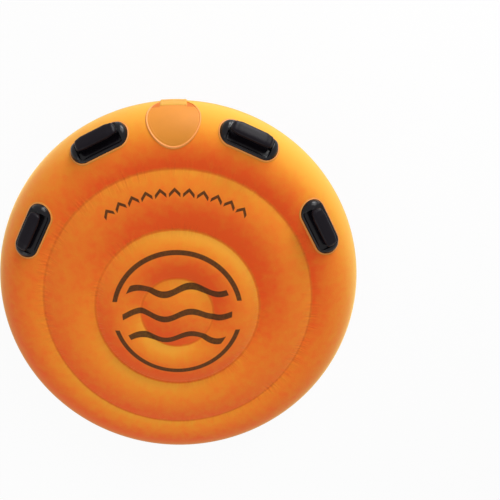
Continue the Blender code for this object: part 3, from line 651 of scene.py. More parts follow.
def fine_profile():
    """Radius, height, outward direction and pucker of each point from rim to axis."""
    half = LAND_W / 2.0
    reach = RING_CENTRE_R - SEAM_RADII[0] - half
    seam_turn = math.pi / 2.0 + math.asin(reach / RING_R)
    heights = (math.sqrt(RING_R ** 2 - reach ** 2), RING_R - SEAM_DEPTH, RING_R - SEAM_DEPTH)
    rim_end = math.radians(RIM_END)
    climb = rim_end + (seam_turn - rim_end) * crowded(RING_POINTS)[1:]
    turn = np.concatenate([np.radians(RIM_TURNS), climb])
    ring = np.stack([RING_CENTRE_R + RING_R * np.cos(turn), RING_R * np.sin(turn)], 1)
    ring[:, 0] -= RIM_PINCH * bead(ring[:, 1], 0.0, RIM_PINCH_H)
    lines = [ring]
    for i, (r, h) in enumerate(zip(SEAM_RADII, heights)):
        land = np.array([[r + share * half, h - dip] for share, dip in LAND_DIPS])
        mirrored = (land[-2::-1] - [r, 0.0]) * [-1.0, 1.0] + [r, 0.0]
        lines += [land, mirrored]
        if i < 2:
            next_r, next_h = SEAM_RADII[i + 1] + half, heights[i + 1]
            lines.append(crest(r - half, h, next_r, next_h, CREST_POINTS))
    r_out = SEAM_RADII[2] - half
    radius = (r_out ** 2 + SEAM_DEPTH ** 2) / (2.0 * SEAM_DEPTH)
    r = r_out * (1.0 - crowded(MIDDLE_POINTS))
    r[-1] = 0.0
    lines.append(np.stack([r, RING_R - radius + np.sqrt(radius ** 2 - r ** 2)], 1))
    line = np.concatenate(lines)
    ahead = directions(line)
    outward = np.stack([ahead[:, 1], -ahead[:, 0]], 1)
    at_r, at_h = line.T
    pucker = RIM_PUCKER * np.exp(-at_h / RIM_PUCKER_H) * (at_r > RING_CENTRE_R)
    for r, size in zip(SEAM_RADII, SEAM_PUCKERS):
        away = np.abs(at_r - r)
        calm = np.clip(away / SEAM_CALM_W, SEAM_CALM, 1.0)
        pucker += size * np.exp(-away / SEAM_PUCKER_W) * calm * (at_h > SEAMS_ABOVE_H)
    return line, outward, pucker


print("profile:", len(fine_profile()[0]), "points from rim to axis")

# %% [markdown]
# ## Turning the profile with Geometry Nodes
# The skins are the tube's main pieces, and their shape follows a rule: the
# profile, turned round the axis, with ripples that depend on the angle. A Screw
# modifier could turn it, but not ripple it. A node tree starts from a flat grid,
# reads the profile's point for each of its rows, and moves every grid point to
# its place.

# %% Trees with named inputs, and the objects they shape
def new_tree(name, given, result, inputs):
    """A tree that turns one geometry into another: it, its inputs' identifiers, its signals."""
    tree = bpy.data.node_groups.new(name, "GeometryNodeTree")
    socket = tree.interface.new_socket
    socket(name=given, in_out="INPUT", socket_type="NodeSocketGeometry")
    identifiers = {}
    for key, (kind, value) in inputs.items():
        made = socket(name=key, in_out="INPUT", socket_type="NodeSocket" + kind)
        if value is not None:
            made.default_value = value
        identifiers[key] = made.identifier
    socket(name=result, in_out="OUTPUT", socket_type="NodeSocketGeometry")
    start = Signal(tree)
    entry = start.node("NodeGroupInput").socket.node
    signals = [Signal(tree, entry.outputs[i]) for i in range(1 + len(inputs))]
    return tree, identifiers, start, signals


def finish_tree(start, geometry, material):
    """The last nodes of a tree: real geometry, smooth, with its finish."""
    real = start.node("GeometryNodeRealizeInstances", {"Geometry": geometry})
    smooth = start.node("GeometryNodeSetShadeSmooth", {"Geometry": real})
    dressed = start.node("GeometryNodeSetMaterial", {"Geometry": smooth, "Material": material})
    start.node("NodeGroupOutput", {0: dressed})


def shaped(obj, tree, identifiers, **values):
    """The object's mesh after a tree has run on it with the given inputs."""
    modifier = obj.modifiers.new("shape", "NODES")
    modifier.node_group = tree
    for key, value in values.items():
        modifier[identifiers[key]] = value
    return baked(obj)


# %% The tree that turns and ripples a profile
SKIN_COLUMNS, RIPPLE, RIPPLE_SEED = 288, 0.0022, 3.0
RIPPLE_ROUNDS, RIPPLE_ROUNDS_ACROSS = 21.0, 9.0


def turning_tree():
    """Profile in, rippled skin out."""
    tree, identifiers, start, signals = new_tree("turned_skin", "Profile", "Skin", {
        "Columns": ("Int", SKIN_COLUMNS), "Points": ("Int", None), "Ripple": ("Float", RIPPLE),
        "Rounds": ("Float", RIPPLE_ROUNDS), "Seed": ("Float", RIPPLE_SEED),
        "Finish": ("Material", None),
    })
    profile, columns, points, ripple, rounds, seed, material = signals
    grid = start.node("GeometryNodeMeshGrid", {"Vertices X": columns + 1, "Vertices Y": points})
    index = start.node("GeometryNodeInputIndex")
    row = index % points
    angle = start.math("FLOOR", index / points) / columns * math.tau

    def read(value, kind):
        """A value of the profile's point that this grid point stands for."""
        sockets = {"Geometry": profile, "Value": value, "Index": row}
        return start.node("GeometryNodeSampleIndex", sockets, data_type=kind)

    def stored(name, kind):
        """The same for a named attribute."""
        sockets = {"Name": name}
        return read(start.node("GeometryNodeInputNamedAttribute", sockets, data_type=kind), kind)

    r, _, h = read(start.node("GeometryNodeInputPosition"), "FLOAT_VECTOR").xyz()
    out_r, _, out_h = stored("outward", "FLOAT_VECTOR").xyz()
    cosine, sine = start.math("COSINE", angle), start.math("SINE", angle)
    on_circle = start.vector(cosine * rounds, sine * rounds, r * RIPPLE_ROUNDS_ACROSS)
    noise = start.node(
        "ShaderNodeTexNoise",
        {"Vector": on_circle, "W": seed, "Scale": 1.0, "Detail": 2.0, "Roughness": 0.60},
        noise_dimensions="4D",
    )
    push = (noise - 0.5) * 2.0 * stored("pucker", "FLOAT") * ripple
    radial, height = r + out_r * push, h + out_h * push
    where = start.vector(radial * cosine, radial * sine, height)
    moved = start.node("GeometryNodeSetPosition", {"Geometry": grid, "Position": where})
    closed = start.node("GeometryNodeMergeByDistance", {"Geometry": moved, "Distance": WELD})
    finish_tree(start, closed, material)
    return tree, identifiers


TURNING, TURNING_INPUTS = turning_tree()
print("turning tree:", len(TURNING.nodes), "nodes")

# %% [markdown]
# ## The two skins
# The top skin is the deck and the bottom skin the printed underside, each with
# its own wall. The bottom one has a round hole for the valve's neck and rests
# on the floor, so no point of it may go below.

# %% Deck skin and underside skin
def make_skin(name, side, slot):
    """One sheet: the profile turned on one side of the middle plane, with a wall."""
    line, outward, pucker = fine_profile()
    mesh = bpy.data.meshes.new(name + "_profile")
    points = [(r, 0.0, MID_Z + side * h) for r, h in line]
    mesh.from_pydata(points, [(i, i + 1) for i in range(len(points) - 1)], [])
    leaning = np.stack([outward[:, 0], 0.0 * pucker, side * outward[:, 1]], 1)
    mesh.attributes.new("outward", "FLOAT_VECTOR", "POINT").data.foreach_set(
        "vector", leaning.ravel()
    )
    mesh.attributes.new("pucker", "FLOAT", "POINT").data.foreach_set("value", pucker)
    obj = shaped(
        added(name, mesh), TURNING, TURNING_INPUTS, Points=len(points), Finish=finishes[slot],
    )
    work = bmesh.new()
    work.from_mesh(obj.data)
    bmesh.ops.recalc_face_normals(work, faces=work.faces)
    lean = sum(face.normal.z * face.calc_area() for face in work.faces)
    if lean * side < 0.0:
        bmesh.ops.reverse_faces(work, faces=work.faces)
    for vert in work.verts:
        vert.co.z = max(vert.co.z, 0.0)
    work.to_mesh(obj.data)
    work.free()
    wall = obj.modifiers.new("wall", "SOLIDIFY")
    wall.thickness = SHEET_T
    wall.offset = -1.0
    return baked(obj)


deck_skin = make_skin("deck_skin", 1.0, "flocked_deck")
underside_skin = make_skin("underside_skin", -1.0, "printed_underside")
print("deck skin:", len(deck_skin.data.polygons), "faces")

# %% [markdown]
# ## Grab handles
# Each handle is a welded patch, a moulded base with two end mounds, a cord that
# rises from a socket in each mound, and an arched grip round the cord. The patch
# and the base are plates on the ring. The base is a height field: a thin floor, a
# rounded lip and two domes that end in a steep face under the grip. The grip and
# its cord rock together, so they ride on their own body.

# %% Sizes of a handle
HANDLE_L, HANDLE_W, PATCH_MARGIN = 0.168, 0.068, 0.005
MOUND_X, MOUND_HALF_L, MOUND_HALF_W, MOUND_RISE = 0.062, 0.020, 0.026, 0.0165
PIVOT_RISE, CORE_R, CORE_BEND_R = 0.0095, 0.0040, 0.0070
CORE_TOP = 0.0249
GRIP_W, GRIP_H = 0.034, 0.015
NECK_RISE, NECK_HALF_W, NECK_HALF_H = 0.0035, 0.0078, 0.0055
SHOULDER_HALF_W, SHOULDER_RUN, NECK_POWER, GRIP_END_SHARE = 0.015, 0.014, 0.8, 0.90
LIP, LIP_RISE, PAD_EDGE_R = (0.0042, 0.0024), 0.0016, 0.0022
FACE_STEPS, DOME_EDGE_R, DOME_BLEND = (0.0, 0.0002, 0.0006, 0.0012), 0.0012, 0.0025
SOCKET_IN, SOCKET_OUT = 0.0063, 0.004
UNDER_FLOOR = -0.02
HANDLE_WELD, HANDLE_WELD_RISE, PATCH_EDGE_R = (0.0034, 0.0009), 0.0010, 0.0008
HANDLES = (
    ("front_left", 112.0, 65.0),
    ("front_right", 68.0, 65.0),
    ("rear_left", 147.0, 84.0),
    ("rear_right", 33.0, 84.0),
)


# %% The welded patch and the moulded base
def handle_patch(name, place):
    """The orange patch under a handle, with a fine raised weld line at its edge."""
    length, width = HANDLE_L + 2.0 * PATCH_MARGIN, HANDLE_W + 2.0 * PATCH_MARGIN
    x, y = pill_grid(length, width, 22, 33)
    depth = pill_depth(x, y, length, width)
    weld = bead(depth, *HANDLE_WELD)
    height = welded(depth, PATCH_EDGE_R, HANDLE_WELD_RISE * weld)
    return plate(f"handle_{name}_weld_patch", place, x, y, height, weld=weld)


def handle_base(name, place):
    """Floor, lip and two domes in one glossy moulding, with a socket in each dome."""
    x, y = pill_grid(HANDLE_L, HANDLE_W, 30, 45)
    share = y[len(y) // 2] / (HANDLE_W / 2.0)
    face = MOUND_X + np.array(FACE_STEPS)
    x = np.sort(np.concatenate([x[:, 0], face, -face]))
    over = np.maximum(np.abs(x) - (HANDLE_L - HANDLE_W) / 2.0, 0.0)
    half = np.sqrt(np.maximum((HANDLE_W / 2.0) ** 2 - over ** 2, 0.0))
    x, y = np.repeat(x[:, None], len(share), 1), half[:, None] * share[None, :]
    depth = pill_depth(x, y, HANDLE_L, HANDLE_W)
    low = WELD_TOP + GAP
    rise = (PAD_TOP - low) * rounded(depth, PAD_EDGE_R) + LIP_RISE * bead(depth, *LIP)
    floor, top = lift_on_ring(place, x, y, low), lift_on_ring(place, x, y, low + rise)
    past = np.abs(x) - MOUND_X
    beyond = np.maximum(past, 0.0)
    bowl = 1.0 - (beyond / MOUND_HALF_L) ** 2 - (y / MOUND_HALF_W) ** 2
    dome = MOUND_RISE * np.sqrt(np.maximum(bowl, 0.0)) * rounded(beyond, DOME_EDGE_R)
    dome = np.where((past >= 0.0) & (bowl > 0.0), dome, UNDER_FLOOR)
    blend = np.where(past >= 0.0, DOME_BLEND, WELD)
    top = (top + dome + np.sqrt((top - dome) ** 2 + blend ** 2)) / 2.0
    base = slab(f"handle_{name}_base", placed(place, x, y, top), placed(place, x, y, floor))
    c, s = circle(24)
    across, up = (CORE_R + GAP) * c, PIVOT_RISE + (CORE_R + GAP) * s
    for side in (1.0, -1.0):
        ends = side * (MOUND_X - SOCKET_OUT), side * (MOUND_X + SOCKET_IN)
        cut(base, skin("socket_tool", [placed(place, end, across, up) for end in ends]))
    return base


# %% The cord and the grip
def core_line():
    """Middle line of a handle's cord from socket to socket, as x and z."""
    foot = MOUND_X - 2.0 * GAP
    shoulder = foot - 2.0 * CORE_BEND_R
    bend = np.linspace(0.0, math.pi / 2.0, 10)
    x = np.concatenate([
        [MOUND_X + 0.006, MOUND_X],
        foot - CORE_BEND_R * np.sin(bend),
        shoulder + CORE_BEND_R * np.cos(bend),
        np.linspace(shoulder, 0.0, 15)[1:],
    ])
    z = np.concatenate([
        [PIVOT_RISE, PIVOT_RISE],
        PIVOT_RISE + CORE_BEND_R * (1.0 - np.cos(bend)),
        CORE_TOP - CORE_BEND_R * (1.0 - np.sin(bend)),
        np.full(14, CORE_TOP),
    ])
    return np.concatenate([x, -x[-2::-1]]), np.concatenate([z, z[-2::-1]])


def sections(place, x, z, wide, tall, square=2.0):
    """Outlines across a line in a handle's middle plane, round at 2 and squarer above."""
    ahead = directions(np.stack([x, z], 1))[..., None]
    wide, tall, square = (np.full(x.shape, value)[:, None] for value in (wide, tall, square))
    c, s = circle(40)
    full = (np.abs(c) ** square + np.abs(s) ** square) ** (-1.0 / square)
    up = tall * full * s
    at_x, at_z = x[:, None] - ahead[:, 1] * up, z[:, None] + ahead[:, 0] * up
    return placed(place, at_x, wide * full * c, at_z)


def handle_cord(name, place):
    """The round cord inside the grip, bare where it enters the two sockets."""
    return skin(f"handle_{name}_cord", sections(place, *core_line(), CORE_R, CORE_R))


def handle_grip(name, place):
    """One arched moulding round the cord: narrow necks, sloping shoulders, a flat bar."""
    x, z = core_line()
    above = z > PIVOT_RISE + NECK_RISE
    x, z = x[above], z[above]
    climb = (z - z.min()) / (CORE_TOP - z.min())
    inward = (MOUND_X - 2.0 * CORE_BEND_R - np.abs(x)) / SHOULDER_RUN
    inward = np.clip(inward, 0.0, 1.0)
    ease = inward ** 2 * (3.0 - 2.0 * inward)
    wide = NECK_HALF_W + (SHOULDER_HALF_W - NECK_HALF_W) * climb ** NECK_POWER
    wide += (GRIP_W / 2.0 - SHOULDER_HALF_W) * ease
    tall = NECK_HALF_H + (GRIP_H / 2.0 - NECK_HALF_H) * ease
    lip = np.ones(len(x))
    lip[[0, -1]] = GRIP_END_SHARE
    outer = sections(place, x, z, wide * lip, tall * lip, 2.0 + climb)
    inner = sections(place, x, z, CORE_R + GAP, CORE_R + GAP)
    return skin(f"handle_{name}_soft_grip", np.concatenate([outer, inner[::-1]]), loop=True)


handle_pieces = []
for name, azimuth, section in HANDLES:
    place = ring_frame(azimuth, section)
    patch, base = handle_patch(name, place), handle_base(name, place)
    cord, grip = handle_cord(name, place), handle_grip(name, place)
    handle_pieces.append((name, patch, base, cord, grip))
print("handles:", len(handle_pieces), "with", len(base.data.polygons), "faces in a base")

# %% [markdown]
# ## The tow hitch
# A round patch on the deck side and a two-lobed patch below carry the pull into
# the skin. A band joins them over the rim, and a clear bar and a webbing loop
# hold the steel ring. The patches and the bar are plates on the ring. The band
# follows the ring's own section, so it is laid out by angle.

# %% Round patch and two-lobed patch
FRONT, TOP_PATCH_SECTION, TOP_PATCH_R = 90.0, 57.0, 0.074
SADDLE_SECTION, SADDLE_HALF_W, SADDLE_HALF_H, SADDLE_ARCH_Y = -33.0, 0.165, 0.066, 0.022
SADDLE_SHARES = (
    (0.34, -0.42), (0.56, -0.80), (0.80, -1.00), (0.99, -0.62), (0.92, 0.10), (0.66, 0.72),
)
CORNER_SHADE_X, CORNER_SHADE_Y, CORNER_SHADE_DEPTH, WELD_SEEN_Y = 0.037, -0.037, 0.004, -0.045
ROUND_WELD, ROUND_WELD_RISE = (0.0028, 0.0018), 0.0018
ROUND_STEP, ROUND_STEP_RISE = (0.0095, 0.0012), 0.00035
LOBED_WELD, LOBED_WELD_RISE, LOBED_EDGE_R = (0.0030, 0.0016), 0.0011, 0.0010
RIDGE_RISE, RIDGE_PITCH, RIDGES_FROM = 0.00030, 0.0075, 0.008


def round_patch():
    """The disc at the front of the deck: a raised rim, a fine step inside, and two corners of
    painted shade beside the band.
    """
    place = ring_frame(FRONT, TOP_PATCH_SECTION)
    x, y = pill_grid(2.0 * TOP_PATCH_R, 2.0 * TOP_PATCH_R - 1e-5, 48, 81)
    depth = TOP_PATCH_R - np.hypot(x, y)
    weld = bead(depth, *ROUND_WELD)
    raised = ROUND_WELD_RISE * weld + ROUND_STEP_RISE * bead(depth, *ROUND_STEP)
    height = welded(np.maximum(depth, 0.0), PATCH_EDGE_R, raised)
    # Two corners beside the band are painted darker: painted shade under the band's corners.
    corner_shade = (np.abs(x) > CORNER_SHADE_X) & (y < CORNER_SHADE_Y) & (depth > CORNER_SHADE_DEPTH)
    marks = {"weld": weld * (y > WELD_SEEN_Y), "corner_shade": corner_shade.astype(float)}
    return plate("tow_patch_top", place, x, y, height, **marks)


def smooth_outline():
    """The two-lobed outline as many points: right half, then its mirror image."""
    right = [(SADDLE_HALF_W * a, SADDLE_HALF_H * b) for a, b in SADDLE_SHARES]
    left = [(-a, b) for a, b in reversed(right)]
    corners = [(0.0, -SADDLE_ARCH_Y), *right, (0.0, SADDLE_HALF_H), *left]
    curve = bpy.data.curves.new("outline", "CURVE")
    curve.resolution_u = 24
    spline = curve.splines.new("BEZIER")
    spline.bezier_points.add(len(corners) - 1)
    for point, (x, y) in zip(spline.bezier_points, corners):
        point.co = (x, y, 0.0)
        point.handle_left_type = point.handle_right_type = "AUTO"
    spline.use_cyclic_u = True
    obj = added("outline", curve)
    bpy.context.view_layer.update()
    points = np.array([vert.co[:2] for vert in obj.to_mesh().vertices])
    obj.to_mesh_clear()
    bpy.data.objects.remove(obj, do_unlink=True)
    return points


def lobed_patch():
    """The underside patch, its edge raised and followed by fine contour ridges."""
    place = ring_frame(FRONT, SADDLE_SECTION)
    outline = smooth_outline()
    tip = int(np.argmax(outline[:, 0]))
    lower, upper = outline[: tip + 1], outline[tip:]
    upper = upper[upper[:, 0] >= -WELD][::-1]
    turn = np.linspace(-math.pi / 2.0, math.pi / 2.0, 121)
    x = float(outline[tip, 0]) * np.sin(turn)
    low_y = np.interp(np.abs(x), lower[:, 0], lower[:, 1])
    high_y = np.interp(np.abs(x), upper[:, 0], upper[:, 1])
    low_y[[0, -1]] = high_y[[0, -1]] = outline[tip, 1]
    share = (1.0 + np.sin(turn[::2])) / 2.0
    y = low_y[:, None] + (high_y - low_y)[:, None] * share[None, :]
    x = np.repeat(x[:, None], len(share), 1)
    gaps = np.hypot(x[..., None] - outline[:, 0], y[..., None] - outline[:, 1])
    depth = gaps.min(-1)
    depth[:, [0, -1]] = 0.0
    weld = bead(depth, *LOBED_WELD)
    ridges = RIDGE_RISE * np.cos(depth * math.tau / RIDGE_PITCH) * (depth > RIDGES_FROM)
    height = welded(depth, LOBED_EDGE_R, LOBED_WELD_RISE * weld + ridges)
    return plate("tow_patch_lobed", place, x, y, height, weld=weld)


patch_top, patch_lobed = round_patch(), lobed_patch()


# %% Band, bar, webbing and ring
BAND_W, BAND_SPAN, BAND_RISE, BAND_EDGE_R = 0.072, (-52.0, 36.0), 0.0010, 0.0007
SELVEDGE, SELVEDGE_RISE = (0.0040, 0.0016), 0.0006
BAR_W, BAR_H, BAR_SECTION, BAR_EDGE_SHARE, BAR_EDGE_R = 0.100, 0.012, -42.0, 0.15, 0.0030
STRAP_W, STRAP_T, STRAP_EDGE_POWER, STRAP_FACE_POWER = 0.025, 0.0020, 0.35, 0.6
PIVOT_SECTION, LOOP_SPAN, RUN_POINTS = -24.0, 300.0, 9
WIRE_R, RING_W, RING_H, WIRE_WELD, WIRE_WELD_W = 0.0025, 0.044, 0.040, 0.14, 0.0022


def band_point(x, angle, height):
    """A point of the ring beside the tube's middle line, by its section angle."""
    r = RING_CENTRE_R + (RING_R + height) * np.cos(angle)
    return np.stack([x, np.sqrt(r ** 2 - x ** 2), MID_Z + (RING_R + height) * np.sin(angle)], -1)


def tow_band():
    """The strap over the rim, with raised selvedges along its two sides."""
    x = BAND_W / 2.0 * np.sin(np.linspace(-math.pi / 2.0, math.pi / 2.0, 33))
    first, last = np.radians(BAND_SPAN)
    x, angle = np.meshgrid(x, np.linspace(first, last, 71), indexing="ij")
    side = BAND_W / 2.0 - np.abs(x)
    end = (RING_R * np.minimum(angle - first, last - angle)).clip(0.0)
    low = np.full(x.shape, WELD_TOP + GAP)
    raised = BAND_RISE * rounded(np.minimum(side, end), BAND_EDGE_R)
    raised += SELVEDGE_RISE * bead(side, *SELVEDGE)
    top, low = band_point(x, angle, low + raised), band_point(x, angle, low)
    return slab("tow_rim_band", top, low)


def anchor_bar():
    """The clear bar that clamps the webbing, with soft edges."""
    place = ring_frame(FRONT, BAR_SECTION)
    x, y = pill_grid(BAR_W, BAR_H, 14, 17)
    low = BAND_TOP + GAP
    share = rounded(pill_depth(x, y, BAR_W, BAR_H), BAR_EDGE_R)
    share = BAR_EDGE_SHARE + (1.0 - BAR_EDGE_SHARE) * share
    return plate("tow_clear_bar", place, x, y, low + (BAR_TOP - low) * share, low)


def hitch_line():
    """Middle line of the webbing as (y, z), and the centre of the wire it turns round."""
    lie = BAND_TOP + GAP + STRAP_T
    start = math.radians(BAR_SECTION) + (BAR_H / 2.0 + GAP) / RING_R
    pivot = math.radians(PIVOT_SECTION)
    eye = WIRE_R + GAP + STRAP_T
    angles = np.linspace(start, pivot, RUN_POINTS)[:-1]
    middle = RING_R + lie - STRAP_T / 2.0
    foot = np.array([RING_CENTRE_R, MID_Z])
    run = foot + middle * np.stack([np.cos(angles), np.sin(angles)], 1)
    centre = foot + (RING_R + lie + eye) * np.array([math.cos(pivot), math.sin(pivot)])
    turn = pivot - math.pi + np.linspace(0.0, math.radians(LOOP_SPAN), 40)
    loop = centre + (eye - STRAP_T / 2.0) * np.stack([np.cos(turn), np.sin(turn)], 1)
    return np.concatenate([run, loop]), centre


def tow_webbing():
    """Flat webbing with rounded selvedges, from the bar round the ring's wire."""
    path, _ = hitch_line()
    ahead = directions(path)
    c, s = circle(28)
    wide = STRAP_W / 2.0 * np.sign(c) * np.abs(c) ** STRAP_EDGE_POWER
    tall = STRAP_T / 2.0 * np.sign(s) * np.abs(s) ** STRAP_FACE_POWER
    rings = [
        np.stack([wide, y - step_z * tall, z + step_y * tall], 1)
        for (y, z), (step_y, step_z) in zip(path, ahead)
    ]
    return skin("tow_webbing", rings, sharp=60.0)


def steel_ring():
    """The D ring: one straight side in the webbing's loop and a round bow below."""
    _, (y, z) = hitch_line()
    half, corner = RING_W / 2.0, 2.0 * WIRE_R
    bend = np.linspace(math.pi / 2.0, 0.0, 9)
    bow = np.linspace(0.0, -math.pi, 33)
    right = np.stack([half - corner + corner * np.cos(bend), -corner + corner * np.sin(bend)], 1)
    under = np.stack([half * np.cos(bow), half - RING_H + half * np.sin(bow)], 1)
    path = np.concatenate([right, under, right[::-1] * [-1.0, 1.0]])
    c, s = circle(20)
    weld = 1.0 + WIRE_WELD * bead(path[:, 0], 0.0, WIRE_WELD_W) * (path[:, 1] < -0.02)
    rings = []
    for (x, up), (step_x, step_up), radius in zip(path, directions(path, True), WIRE_R * weld):
        across, along = radius * c, y + radius * s
        rings.append(np.stack([x - step_up * across, along, z + up + step_x * across], 1))
    return skin("tow_steel_ring", rings, loop=True)


band, bar, webbing, ring = tow_band(), anchor_bar(), tow_webbing(), steel_ring()
print("hitch:", len(ring.data.polygons), "faces in the steel ring")

# %% [markdown]
# Webbing is sewn with thick pale thread: a row along each selvedge and a few rows
# across, close to the ring. Stitches repeat along a line, so a node tree lays
# them: it spaces points evenly on each row and puts one small thread bead on
# each point, turned along the row.

# %% Stitches along rows of points
ROW_INSET, CROSS_ROWS = 0.0030, (3, 5, 7)


def stitching_tree():
    """Rows of points in, one bead of thread for each stitch out."""
    tree, identifiers, start, signals = new_tree("stitching", "Rows", "Stitches", {
        "Pitch": ("Float", 0.0030), "Length": ("Float", 0.0023),
        "Thread": ("Float", 0.0006), "Finish": ("Material", None),
    })
    rows, pitch, length, thread, material = signals
    line = start.node("GeometryNodeMeshToCurve", {"Mesh": rows})
    spacing = {"Curve": line, "Length": pitch}
    spaced = start.node("GeometryNodeResampleCurve", spacing, mode="LENGTH")
    along = {"Vector": start.node("GeometryNodeInputTangent")}
    turned = start.node("FunctionNodeAlignRotationToVector", along, axis="X")
    sphere = {"Segments": 8, "Rings": 5, "Radius": 0.5}
    sphere = start.node("GeometryNodeMeshUVSphere", sphere)
    size = start.vector(length, thread, thread)
    laid = {"Points": spaced, "Instance": sphere, "Rotation": turned, "Scale": size}
    finish_tree(start, start.node("GeometryNodeInstanceOnPoints", laid), material)
    return tree, identifiers


def sew(name, rows):
    """Stitches along rows, each a list of points."""
    points, edges = [], []
    for row in rows:
        edges += [(len(points) + i, len(points) + i + 1) for i in range(len(row) - 1)]
        points += [tuple(point) for point in row]
    mesh = bpy.data.meshes.new(name)
    mesh.from_pydata(points, edges, [])
    tree, identifiers = stitching_tree()
    return shaped(added(name, mesh), tree, identifiers, Finish=thread_finish)


def webbing_rows():
    """Two rows along the selvedges and three across, on the webbing's outer face."""
    path, _ = hitch_line()
    run = path[:RUN_POINTS]
    ahead = directions(run)
    face = run + np.stack([ahead[:, 1], -ahead[:, 0]], 1) * (STRAP_T / 2.0)
    inset = STRAP_W / 2.0 - ROW_INSET
    rows = [[(x, y, z) for y, z in face] for x in (inset, -inset)]
    for i in CROSS_ROWS:
        rows.append([(x, *face[i]) for x in np.linspace(-inset, inset, 9)])
    return rows


stitches = sew("tow_webbing_stitches", webbing_rows())
print("stitches:", len(stitches.data.polygons), "faces")

# %% [markdown]
# ## The valve
# Valve pieces are turned parts, so each is a profile turned round the valve's
# own axis. The flange lies on the curved skin, and its neck is joined to it with
# a Boolean. The cap's grip notches are a ripple of its radius.

# %% Turned pieces on the valve's axis
VALVE = ring_frame(-77.3, -42.0)
FLANGE_R, FLANGE_T, FLANGE_EDGE_R = 0.031, 0.0016, 0.0012
GROOVE, GROOVE_DEEP = (0.0050, 0.0007), 0.0004
NOTCH_DEEP, NOTCHES_FROM_R, NOTCH_POWER, TURNED_SHARP = 0.0014, 0.016, 4, 30.0
NECK_R, NECK_BORE_R, NECK_TOP, NECK_DEPTH = 0.0210, 0.0176, 0.0050, 0.0140


def turned_on_valve(name, profile, steps=72, notches=0):
    """A closed profile of (radius, height) turned round the valve's axis."""
    turn = np.linspace(0.0, math.tau, steps, endpoint=False)
    profile = np.asarray(profile, float)
    rings = []
    for angle in turn:
        bite = max(0.0, math.cos(notches * angle)) ** NOTCH_POWER if notches else 0.0
        r = profile[:, 0] - NOTCH_DEEP * bite * (profile[:, 0] > NOTCHES_FROM_R)
        rings.append(placed(VALVE, r * math.cos(angle), r * math.sin(angle), profile[:, 1]))
    return skin(name, rings, loop=True, sharp=TURNED_SHARP)


def valve_hole_tool(radius):
    """A long round tool on the valve's axis."""
    c, s = circle(72)
    return skin("valve_tool", [placed(VALVE, radius * c, radius * s, z) for z in (-0.05, 0.05)])


def valve_flange():
    """The welded disc on the curved skin, joined to the neck."""
    x, y = pill_grid(2.0 * FLANGE_R, 2.0 * FLANGE_R - 1e-5, 28, 49)
    depth = np.maximum(FLANGE_R - np.hypot(x, y), 0.0)
    groove = GROOVE_DEEP * bead(depth, *GROOVE)
    height = GAP + FLANGE_T * rounded(depth, FLANGE_EDGE_R) - groove
    disc = plate("valve_fine_flange", VALVE, x, y, height)
    neck = turned_on_valve("neck", [
        (NECK_R, NECK_TOP - 0.0006), (NECK_R, -NECK_DEPTH), (0.010, -NECK_DEPTH),
        (0.010, NECK_TOP), (NECK_R - 0.0006, NECK_TOP),
    ])
    cut(disc, neck, "UNION")
    return cut(disc, valve_hole_tool(NECK_BORE_R))


cut(underside_skin, valve_hole_tool(NECK_R + GAP))
flange = valve_flange()
seal = turned_on_valve("valve_fine_seal", [
    (0.0200, 0.0063), (0.0200, 0.0053), (0.0176, 0.0053), (0.0176, 0.0063),
])
insert = turned_on_valve("valve_fine_insert", [
    (0.0194, 0.0090), (0.0200, 0.0084), (0.0200, 0.0066), (0.0172, 0.0066), (0.0172, -0.0120),
    (0.0085, -0.0120), (0.0085, -0.0100), (0.0110, -0.0100), (0.0110, 0.0086), (0.0114, 0.0090),
])
flap_disc = turned_on_valve("valve_fine_flap", [
    (0.0, -0.0123), (0.0099, -0.0123), (0.0103, -0.0127),
    (0.0103, -0.0131), (0.0099, -0.0135), (0.0, -0.0135),
])
gasket = turned_on_valve("cap_fine_gasket", [
    (0.0161, 0.0103), (0.0161, 0.0093), (0.0113, 0.0093), (0.0113, 0.0103),
])
CAP_LOW, CAP_HIGH, CAP_LIFT, TETHER_T = 0.0106, 0.0146, 0.00375, 0.0014
KNOB_LOW = CAP_HIGH + CAP_LIFT + TETHER_T + 0.0006
cap = turned_on_valve("valve_fine_cap", [
    (0.0, KNOB_LOW + 0.0015), (0.0052, KNOB_LOW + 0.0015), (0.0062, KNOB_LOW + 0.0007),
    (0.0062, KNOB_LOW), (0.0040, KNOB_LOW), (0.0040, CAP_HIGH + 0.0004), (0.0046, CAP_HIGH),
    (0.0120, CAP_HIGH), (0.0126, CAP_HIGH - 0.0004), (0.0132, CAP_HIGH), (0.0180, CAP_HIGH),
    (0.0188, CAP_HIGH - 0.0004), (0.0190, CAP_HIGH - 0.0012), (0.0190, CAP_LOW),
    (0.0107, CAP_LOW), (0.0107, CAP_LOW - 0.0095), (0.0102, CAP_LOW - 0.0100),
    (0.0, CAP_LOW - 0.0100),
], steps=160, notches=10)
print("valve cap:", len(cap.data.polygons), "faces")

# %% [markdown]
# ## Dressing the model
# Every new piece rides on the body that carries it, says which solid pieces it
# stands for, and takes a slot. Solid pieces that stay get a better finish in
# their own slots.

# %% Who rides on what
def dress(piece, body, slot, *nodes, own=None):
    """One new piece: its finish, its body, the solids it stands for, its slot."""
    piece.data.materials.clear()
    piece.data.materials.append(own or finishes[slot])
    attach(piece, body)
    if nodes:
        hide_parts(*nodes)


